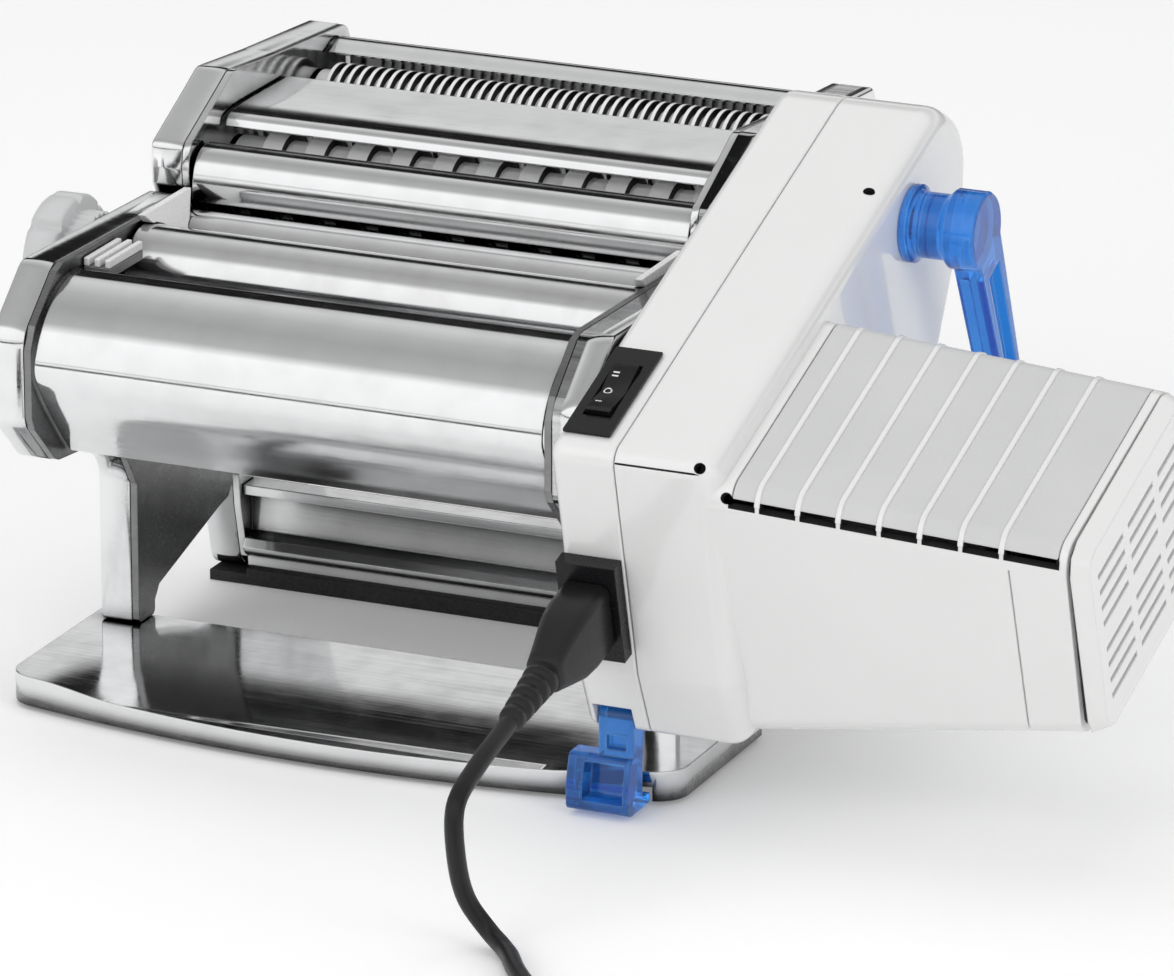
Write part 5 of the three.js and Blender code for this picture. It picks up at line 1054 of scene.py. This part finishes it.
def laid(foot, on, out, along, height):
    """A rectangle on a sloping face: from and to along it, and from and to out of it."""
    pairs = ((along[0], height[0]), (along[1], height[0]), (along[1], height[1]), (along[0], height[1]))
    return [tuple(foot + on * a + out * h) for a, h in pairs]


HOLE_SIDES = 24
OVERRUN = 2  # how far a tool stands out of what it cuts


def hole(centre, out, radius, depth, x):
    """A round tool square to a face, at a place along X."""
    on = Vector((out.y, -out.x))
    rings = []
    for far in (-depth, OVERRUN + 1):
        middle = centre + out * far
        ring = []
        for k in range(HOLE_SIDES):
            turn = 2 * math.pi * k / HOLE_SIDES
            side = radius * math.sin(turn)
            ring.append(at(x + radius * math.cos(turn), middle.x + on.x * side, middle.y + on.y * side))
        rings.append(ring)
    return skin("hole", rings, deep_shade)


left_half = housing_body(
    "left_half", [*eased_stations(HOUSING_X, -1, LEFT_EDGE), *eased_stations(SEAM_X, 1, SEAM_EDGE)],
)
left_room = housing_body("left_room", [(HOUSING_X + WALL, WALL), (SEAM_X + OVERRUN, WALL)])
SHAFT_HOLES = ((REAR_AXIS, 5.6), (FRONT_AXIS, 8.2), (wide_axes[0], 4.6), (wide_axes[1], 4.6))
shaft_holes = []
for axis, radius in SHAFT_HOLES:
    through = [(HOUSING_X - OVERRUN, radius), (HOUSING_X + WALL + OVERRUN, radius)]
    shaft_holes.append(turned("shaft_hole", through, axis, glossy_white, 48))
SWITCH_SPAN = (165.8, 177.0)
SWITCH_RUN = (7.5, 42.5)
INLET_SPAN = (166.4, 177.8)
INLET_RUN = (9.7, 33.3)
LATCH_SPAN = (165.8, 177.0)
LATCH_HOLE = [(-78.5, 23), (-48.5, 23), (-48.5, 32.2), (-78.5, 32.2)]
through_wall = (-WALL - OVERRUN, OVERRUN)
switch_corners = laid(nose, slope_on, slope_out, SWITCH_RUN, through_wall)
inlet_corners = laid(face_foot, face_on, face_out, INLET_RUN, through_wall)
switch_hole = prism("switch_hole", switch_corners, SWITCH_SPAN, glossy_white)
inlet_hole = prism("inlet_hole", inlet_corners, INLET_SPAN, glossy_white)
latch_hole = prism("latch_hole", LATCH_HOLE, LATCH_SPAN, glossy_white)
carve(left_half, left_room, *shaft_holes, switch_hole, inlet_hole, latch_hole)
crease(left_half)
dress(left_half, "frame", "white_plastic", "housing_left_shell")

MOTOR_TILT = math.radians(18.9)
MOTOR_NEAR = (-34.5, 78.25, 81.4, 81)
MOTOR_FAR = (-28, 78.75, 78, 60.2)
MOTOR_CORNER = 7
COVER_NEAR = 213.0
COVER_FAR = 298.5
COVER_THICK = 3
RIB_START = 218.9
RIB_PITCH = 10.7
RIB_WIDTH = 1.5
RIBS = 7


def motor_section(x):
    share = (x - MOTOR_X) / (MOTOR_END - MOTOR_X)
    return [a + share * (b - a) for a, b in zip(MOTOR_NEAR, MOTOR_FAR)]


def tilted(x, points):
    """Points across and up from the motor box's middle, at a place along X."""
    y, z = motor_section(x)[:2]
    turn = (math.cos(MOTOR_TILT), math.sin(MOTOR_TILT))
    return [at(x, y + a * turn[0] - b * turn[1], z + a * turn[1] + b * turn[0]) for a, b in points]


def box_ring(x, smaller=0):
    across = motor_section(x)[2] / 2 - smaller
    up = motor_section(x)[3] / 2 - smaller
    corners = [(-across, -up), (across, -up), (across, up), (-across, up)]
    return tilted(x, rounded([(*corner, MOTOR_CORNER - smaller) for corner in corners]))


def band(name, ends, down, above, finish, front_depth=None):
    """A tool along the motor box's top, from a depth below its top edge to a height above it."""
    rings = []
    for x in ends:
        across = motor_section(x)[2] / 2
        top = motor_section(x)[3] / 2
        front = -across - OVERRUN
        rear = across + OVERRUN if front_depth is None else -across + front_depth
        corners = [(front, top - down), (rear, top - down), (rear, top + above), (front, top + above)]
        rings.append(tilted(x, corners))
    return skin(name, rings, finish)


right_half = housing_body(
    "right_half", [*eased_stations(SEAM_X + SEAT, -1, SEAM_EDGE), *eased_stations(MOTOR_X, 1, RIGHT_EDGE)],
)
END_GAP = 0.2
END_LEAN = 1.5  # the box's foot ends this much earlier than its top
end_ring = box_ring(MOTOR_END)
lowest = min(p.z for p in end_ring)
tallest = max(p.z for p in end_ring) - lowest
for point in end_ring:
    point.x -= (END_GAP + END_LEAN * (1 - (point.z - lowest) / tallest)) * MM
motor_box = skin("motor_box", [box_ring(MOTOR_X - RIGHT_EDGE - 1), end_ring], glossy_white)
carve(right_half, motor_box, operation="UNION")

wall_steps = [(SEAM_X - OVERRUN, WALL), (MOTOR_X - RIGHT_EDGE, WALL), (MOTOR_X - WALL, WALL + 3.5)]
tall_room = housing_body("tall_room", wall_steps)
room_rings = [box_ring(MOTOR_X - 2 * WALL, WALL), box_ring(MOTOR_END + OVERRUN, WALL)]
box_room = skin("box_room", room_rings, glossy_white)
lid_room = band("lid_room", (COVER_NEAR - SEAT, COVER_FAR + SEAT), COVER_THICK, OVERRUN, glossy_white)
GROOVE_RUN = (-0.6, 0.3)
GROOVE_DEPTH = 3
GROOVE_HOLE_X = 205
HOLE_RADIUS = 1.5  # of the round holes that the groove and the vents end in
VENT_HOLE = (-82.5, 100.4)
VENT_HOLE_X = MOTOR_X + 1.4
VENT_HOLE_DEPTH = 5
SCREW_X = MOTOR_X - RIGHT_EDGE + 1
SCREW_RUN = 125
SCREW_HEAD = 1.6
SCREW_DEPTH = 4
groove_corners = laid(nose, slope_on, slope_out, GROOVE_RUN, (-GROOVE_DEPTH, OVERRUN))
nose_groove = prism("nose_groove", groove_corners, (SEAM_X - 1, GROOVE_HOLE_X + HOLE_RADIUS), deep_shade)
nose_out = (slope_out + face_out).normalized()
groove_end = hole(nose - nose_out * OVERRUN, nose_out, HOLE_RADIUS, GROOVE_DEPTH, GROOVE_HOLE_X)
vent_end = hole(Vector(VENT_HOLE), nose_out, HOLE_RADIUS, VENT_HOLE_DEPTH, VENT_HOLE_X)
screw_hole = hole(nose + slope_on * SCREW_RUN, slope_out, SCREW_HEAD, SCREW_DEPTH, SCREW_X)
VENT_DOWN = 5.1
VENT_DEPTH = 8
VENT_UNDER_PANEL = 0.05
VENT_UNDER_RIB = 0.2
vent_top = VENT_UNDER_PANEL - COVER_THICK
vents = []
for i in range(RIBS + 1):
    rib_left = RIB_START + i * RIB_PITCH
    start = COVER_NEAR - 1 if i == 0 else rib_left - RIB_PITCH + RIB_WIDTH - VENT_UNDER_RIB
    stop = COVER_FAR + 0.5 if i == RIBS else rib_left + VENT_UNDER_RIB
    vents.append(band("vent", (start, stop), VENT_DOWN, vent_top, deep_shade, VENT_DEPTH))
LEVER_AXIS = (47, 138.5)
LEVER_HOLE = 3.3
lever_profile = [(MOTOR_X - 10, LEVER_HOLE), (MOTOR_X + OVERRUN, LEVER_HOLE)]
lever_hole = turned("lever_hole", lever_profile, LEVER_AXIS, glossy_white, 32)
FINE_SEAM_SPAN = (285.4, 285.8)
seam_corners = [(-60, -60), (-38.4, -60), (-38.4, 24), (-60, 24)]
fine_seam = skin("fine_seam", [tilted(x, seam_corners) for x in FINE_SEAM_SPAN], glossy_white)
carve(
    right_half, tall_room, box_room, lid_room, nose_groove, groove_end, vent_end, screw_hole, lever_hole,
    fine_seam, *vents,
)
crease(right_half)
dress(right_half, "frame", "white_plastic", "housing_right_shell")
finish_nodes(glossy_white, "end_cap")


# Motor panel: a satin grey moulding let in the top of the motor box, with seven raised white ribs
# that run over its front edge and bridge the vent slots below it.
PANEL_STEPS = 8
RIB_RISE = 0.45
RIB_SUNK = 0.2
RIB_TURN = math.radians(27)


def over_the_top(x, out, lowest_turn):
    """Points from the front corner over the top to the rear corner, moved out by a distance."""
    across = motor_section(x)[2] / 2 - MOTOR_CORNER
    top = motor_section(x)[3] / 2 - MOTOR_CORNER
    radius = MOTOR_CORNER + out
    front = []
    rear = []
    for k in range(PANEL_STEPS + 1):
        turn = lowest_turn + (math.pi / 2 - lowest_turn) * k / PANEL_STEPS
        front.append((-across - radius * math.cos(turn), top + radius * math.sin(turn)))
        rear.append((across + radius * math.cos(turn), top + radius * math.sin(turn)))
    return [*front, *reversed(rear)]


panel_grey = moulded(
    "panel_grey", (0.62, 0.622, 0.625), (0.76, 0.76, 0.76), (0.4, 0.55), 0.45 * MM, 0.04 * MM,
)
panel_turn = math.asin((MOTOR_CORNER - COVER_THICK + SEAT) / MOTOR_CORNER)
panel_rings = [tilted(x, over_the_top(x, 0, panel_turn)) for x in (COVER_NEAR, COVER_FAR)]
panel = skin("panel_sheet", panel_rings, panel_grey)
ease(panel, 0.3 * MM, 2, 50)
dress(panel, "frame", "white_plastic", "motor_top_cover")
for i in range(RIBS):
    rib_left = RIB_START + i * RIB_PITCH
    rings = []
    for x in (rib_left, rib_left + RIB_WIDTH):
        outside = over_the_top(x, RIB_RISE, RIB_TURN)
        inside = over_the_top(x, -RIB_SUNK, RIB_TURN)
        rings.append(tilted(x, [*outside, *reversed(inside)]))
    rib = ease(skin("panel_rib", rings, glossy_white), 0.3 * MM, 2, 50)
    dress(rib, "frame", "white_plastic")


# Switch: a black frame let into the slope, its three-position rocker and the white marks I, O and
# II printed beside the rocker's middle. The power inlet below it is the same black moulding.
finish_nodes(black_plastic, "switch_bezel", "switch_rocker", "power_inlet")
mark_paint = moulded("mark_paint", (0.75, 0.75, 0.75), (0.85, 0.85, 0.85), (0.4, 0.5), 0.3 * MM, 0.01 * MM)
ROCKER_MIDDLE = 25
ROCKER_HALF = 8.5
ROCKER_DISH = 1.8  # its ends stand this much higher than its middle
ROCKER_LOW = 0.6
MARKS_X = 169.9
STROKE = (0.9, 0.25)
PAINT = 0.06


def mark(name, spots):
    """Flat strokes on the rocker's dished face, each by its place and half sizes."""
    form = bmesh.new()
    for across, along, wide, long in spots:
        from_middle = (along - ROCKER_MIDDLE) / ROCKER_HALF
        height = ROCKER_LOW + ROCKER_DISH * min(abs(from_middle), 1) + PAINT
        climb = 0
        if abs(from_middle) > 0.1:
            climb = math.copysign(ROCKER_DISH / ROCKER_HALF, from_middle)
        corners = []
        for a, b in ((-wide, -long), (wide, -long), (wide, long), (-wide, long)):
            place = nose + slope_on * (along + b) + slope_out * (height + climb * b)
            corners.append(form.verts.new(at(MARKS_X + across + a, place.x, place.y)))
        form.faces.new(corners)
    mesh = bpy.data.meshes.new(name)
    form.to_mesh(mesh)
    form.free()
    mesh.materials.append(mark_paint)
    made = bpy.data.objects.new(name, mesh)
    bpy.context.scene.collection.objects.link(made)
    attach(made, "rocker_body")


mark("mark_one", [(0, ROCKER_MIDDLE - 6, *STROKE)])
mark("mark_two", [(0, ROCKER_MIDDLE + 6.6, *STROKE), (0, ROCKER_MIDDLE + 5.4, *STROKE)])
OFF_DOTS = 16
OFF_DOT = (0.2, 0.2)
off_turns = [2 * math.pi * t / OFF_DOTS for t in range(OFF_DOTS)]
mark("mark_off", [(math.cos(turn), ROCKER_MIDDLE + math.sin(turn), *OFF_DOT) for turn in off_turns])


# Release lever and base latch: clear blue acrylic mouldings. The lever is a flanged hub with a
# pocketed arm behind the motor box; the latch hooks into a gap in the base plate's lip.
clear_blue, tree, shader = new_finish("clear_blue", Transmission_Weight=0.8, IOR=1.49, Metallic=0.0)
grain = place_effect(tree, mould_grain, Size=3 * MM)
edge = place_effect(tree, eased_edges, Radius=0.8 * MM)
tint = mixed(tree, grain["Cloudiness"], (0.02, 0.17, 0.7), (0.06, 0.38, 0.95))
# Painted highlight: the edges are painted a paler blue.
tree.links.new(mixed(tree, edge["Edge"], tint, (0.3, 0.6, 1.0)), shader["Base Color"])
tree.links.new(spread(tree, grain["Grain"], *NOISE_RANGE, 0.04, 0.1), shader["Roughness"])
tree.links.new(edge["Normal"], shader["Normal"])
LEVER_STEM = 3
hub_steps = [
    (-7.5, LEVER_STEM), (SEAT, LEVER_STEM), (SEAT, 10.2), (0.8, 10.7), (2.3, 10.7), (2.8, 9.6), (4, 9),
    (11, 9), (12.2, 9.8), (12.6, 10.6), (13.2, 11), (21, 11), (21.8, 10.4), (22, 9.8),
]
lever = turned("lever_body", [(MOTOR_X + x, radius) for x, radius in hub_steps], LEVER_AXIS, clear_blue, 64)
ARM_ANGLE = math.radians(-66)
ARM = [(0, -8), (55, -5.5, 4.5), (55, 5.5, 4.5), (0, 8)]
ARM_POCKET = [(13, -4), (51, -3.5, 1), (51, 3.5, 1), (13, 4)]


def arm_body(name, corners, near, far):
    """A straight body on the lever's arm, from corners along and across it."""
    turn = (math.cos(ARM_ANGLE), math.sin(ARM_ANGLE))
    points = []
    for p in rounded(corners):
        y = LEVER_AXIS[0] + p.x * turn[0] - p.y * turn[1]
        z = LEVER_AXIS[1] + p.x * turn[1] + p.y * turn[0]
        points.append((y, z))
    return prism(name, points, (MOTOR_X + near, MOTOR_X + far), clear_blue)


carve(lever, arm_body("arm", ARM, 14, 22), operation="UNION")
carve(lever, arm_body("left_pocket", ARM_POCKET, 12, 17), arm_body("right_pocket", ARM_POCKET, 19, 24))
crease(lever)
dress(lever, "lever_body", "blue_plastic", "release_lever")

LATCH_LEFT = 158.4
LATCH_RIGHT = 176.4
LATCH_FRONT = -66
LATCH_REAR = -56.5
LATCH_BOTTOM = 1.4
LATCH_SHOULDER = 17
LATCH_TOE = (-51.5, 4.3)  # the hook that reaches through the notch in the pan's lip
LATCH_PIVOT = (-58.5, 27)
WEB_LEFT = 166.4
WEB = [(-62.5, 13), (LATCH_REAR, 13), (-54.5, LATCH_PIVOT[1]), (-62.5, LATCH_PIVOT[1])]
EYE_RADIUS = 4
BLOCK_POCKET = [(-70, 4.6), (-60.5, 4.6, 2), (-59, 15.2, 1), (-70, 15.2)]
BLOCK_POCKET_SPAN = (163, 174.6)
WEB_SLOT = [(-70, 19), (-60.2, 19), (-60.2, 23), (-70, 23)]
WEB_SLOT_SPAN = (168.6, 174.2)
latch_block = rounded([
    (LATCH_FRONT, LATCH_BOTTOM, 2.2), (LATCH_TOE[0], LATCH_BOTTOM, 0.8), (*LATCH_TOE, 0.8),
    (LATCH_REAR, LATCH_TOE[1], 1.2), (LATCH_REAR, LATCH_SHOULDER, 1.2),
    (LATCH_FRONT + 2.2, LATCH_SHOULDER, 1.8), (LATCH_FRONT, 9, 3),
])
latch = prism("latch_body", latch_block, (LATCH_LEFT, LATCH_RIGHT), clear_blue)
latch_web = prism("latch_web", WEB, (WEB_LEFT, LATCH_RIGHT), clear_blue)
eye_profile = [(WEB_LEFT, EYE_RADIUS), (LATCH_RIGHT, EYE_RADIUS)]
latch_eye = turned("latch_eye", eye_profile, LATCH_PIVOT, clear_blue, 40)
carve(latch, latch_web, latch_eye, operation="UNION")
latch_pocket = prism("latch_pocket", rounded(BLOCK_POCKET), BLOCK_POCKET_SPAN, clear_blue)
latch_slot = prism("latch_slot", WEB_SLOT, WEB_SLOT_SPAN, clear_blue)
carve(latch, latch_pocket, latch_slot)
crease(latch)
ease(latch, 0.4 * MM, 2, 40)
dress(latch, "latch_body", "blue_plastic", "base_latch")


# Stage: a pale paper floor under a white room, with soft lamps above, in front and to the right.
# Shiny surfaces see the room in broad bands, as they would between studio screens.
FLOOR_SIZE = 12
FLOOR_DOWN = 0.2  # the paper lies just under the rubber strips, so that the two aren't in one plane
FLOOR_GLOW = 0.14  # what is seen of the paper directly, mirrored or through glass; it keeps its shadow
floor_corners = [(x * FLOOR_SIZE / 2, y * FLOOR_SIZE / 2, 0) for x, y in ((-1, -1), (1, -1), (1, 1), (-1, 1))]
floor_mesh = bpy.data.meshes.new("floor")
floor_mesh.from_pydata(floor_corners, [], [(0, 1, 2, 3)])
floor = bpy.data.objects.new("floor", floor_mesh)
floor.location.z = -FLOOR_DOWN * MM
bpy.context.scene.collection.objects.link(floor)
floor_paper, tree, shader = new_finish(
    "floor_paper", Roughness=0.8, Base_Color=(0.95, 0.95, 0.95, 1), Emission_Color=(1, 1, 1, 1),
)
paths = add_node(tree, "ShaderNodeLightPath").outputs
seen_straight = reckon(tree, "MAXIMUM", paths["Is Camera Ray"], paths["Is Transmission Ray"])
seen_at_all = reckon(tree, "MAXIMUM", seen_straight, paths["Is Glossy Ray"])
tree.links.new(reckon(tree, "MULTIPLY", seen_at_all, FLOOR_GLOW), shader["Emission Strength"])
floor_mesh.materials.append(floor_paper)

WORLD_LEVEL = 0.6
ROOM_LEVEL = 1.2
ROOM_WHITE = 0.97
ROOM_BANDS = (  # each a share of the way from the front horizon over the top to the rear one, and a grey
    (0.0, 0.02), (0.018, 0.03), (0.028, 0.85), (0.052, 0.85), (0.058, 0.3), (0.066, 0.88), (0.3, 0.95),
    (0.36, 0.44), (0.5, 0.36), (0.6, 0.44), (0.7, 0.6), (0.755, 0.5), (0.768, 0.01), (0.858, 0.01),
    (0.875, 0.66), (0.915, 0.56), (0.945, 0.04), (1.0, 0.03),
)
world = bpy.data.worlds.new("studio")
bpy.context.scene.world = world
world.use_nodes = True
tree = world.node_tree
tree.nodes.clear()
paths = add_node(tree, "ShaderNodeLightPath").outputs
looking = add_node(tree, "ShaderNodeTexCoord").outputs["Generated"]
aim = add_node(tree, "ShaderNodeSeparateXYZ", {0: looking}).outputs
swing = reckon(tree, "ARCTAN2", aim["Z"], reckon(tree, "MULTIPLY", aim["Y"], -1.0))
bands = add_node(tree, "ShaderNodeValToRGB", {0: reckon(tree, "DIVIDE", swing, math.pi)})
ramp = bands.color_ramp
ramp.elements.remove(ramp.elements[0])
ramp.elements[0].position = ROOM_BANDS[0][0]
ramp.elements[0].color = (*[ROOM_BANDS[0][1]] * 3, 1)
for place, grey in ROOM_BANDS[1:]:
    ramp.elements.new(place).color = (grey, grey, grey, 1)
soft, mirrored, white = [
    add_node(tree, "ShaderNodeBackground", {"Color": colour, "Strength": level}).outputs[0]
    for colour, level in (
        ((1, 1, 1, 1), WORLD_LEVEL), (bands.outputs[0], ROOM_LEVEL), ((*[ROOM_WHITE] * 3, 1), 1.0),
    )
]
shiny = add_node(tree, "ShaderNodeMixShader", {0: paths["Is Glossy Ray"], 1: soft, 2: mirrored}).outputs[0]
seen_straight = reckon(tree, "MAXIMUM", paths["Is Camera Ray"], paths["Is Transmission Ray"])
room = add_node(tree, "ShaderNodeMixShader", {0: seen_straight, 1: shiny, 2: white}).outputs[0]
add_node(tree, "ShaderNodeOutputWorld", {"Surface": room})

for name, spot, size, power in (
    ("top_light", (-0.3, 0.1, 1.8), 1.6, 7),
    ("front_light", (-0.7, -2.0, 1.2), 1.2, 12),
    ("right_light", (1.8, -0.7, 0.9), 1.0, 7),
):
    lamp = bpy.data.lights.new(name, "AREA")
    lamp.size = size
    lamp.energy = power
    light = bpy.data.objects.new(name, lamp)
    light.location = spot
    light.rotation_mode = "QUATERNION"
    light.rotation_quaternion = (VIEW_POINT - Vector(spot)).to_track_quat("-Z", "Y")
    light.visible_glossy = False
    bpy.context.scene.collection.objects.link(light)

bpy.context.scene.view_settings.view_transform = "Standard"
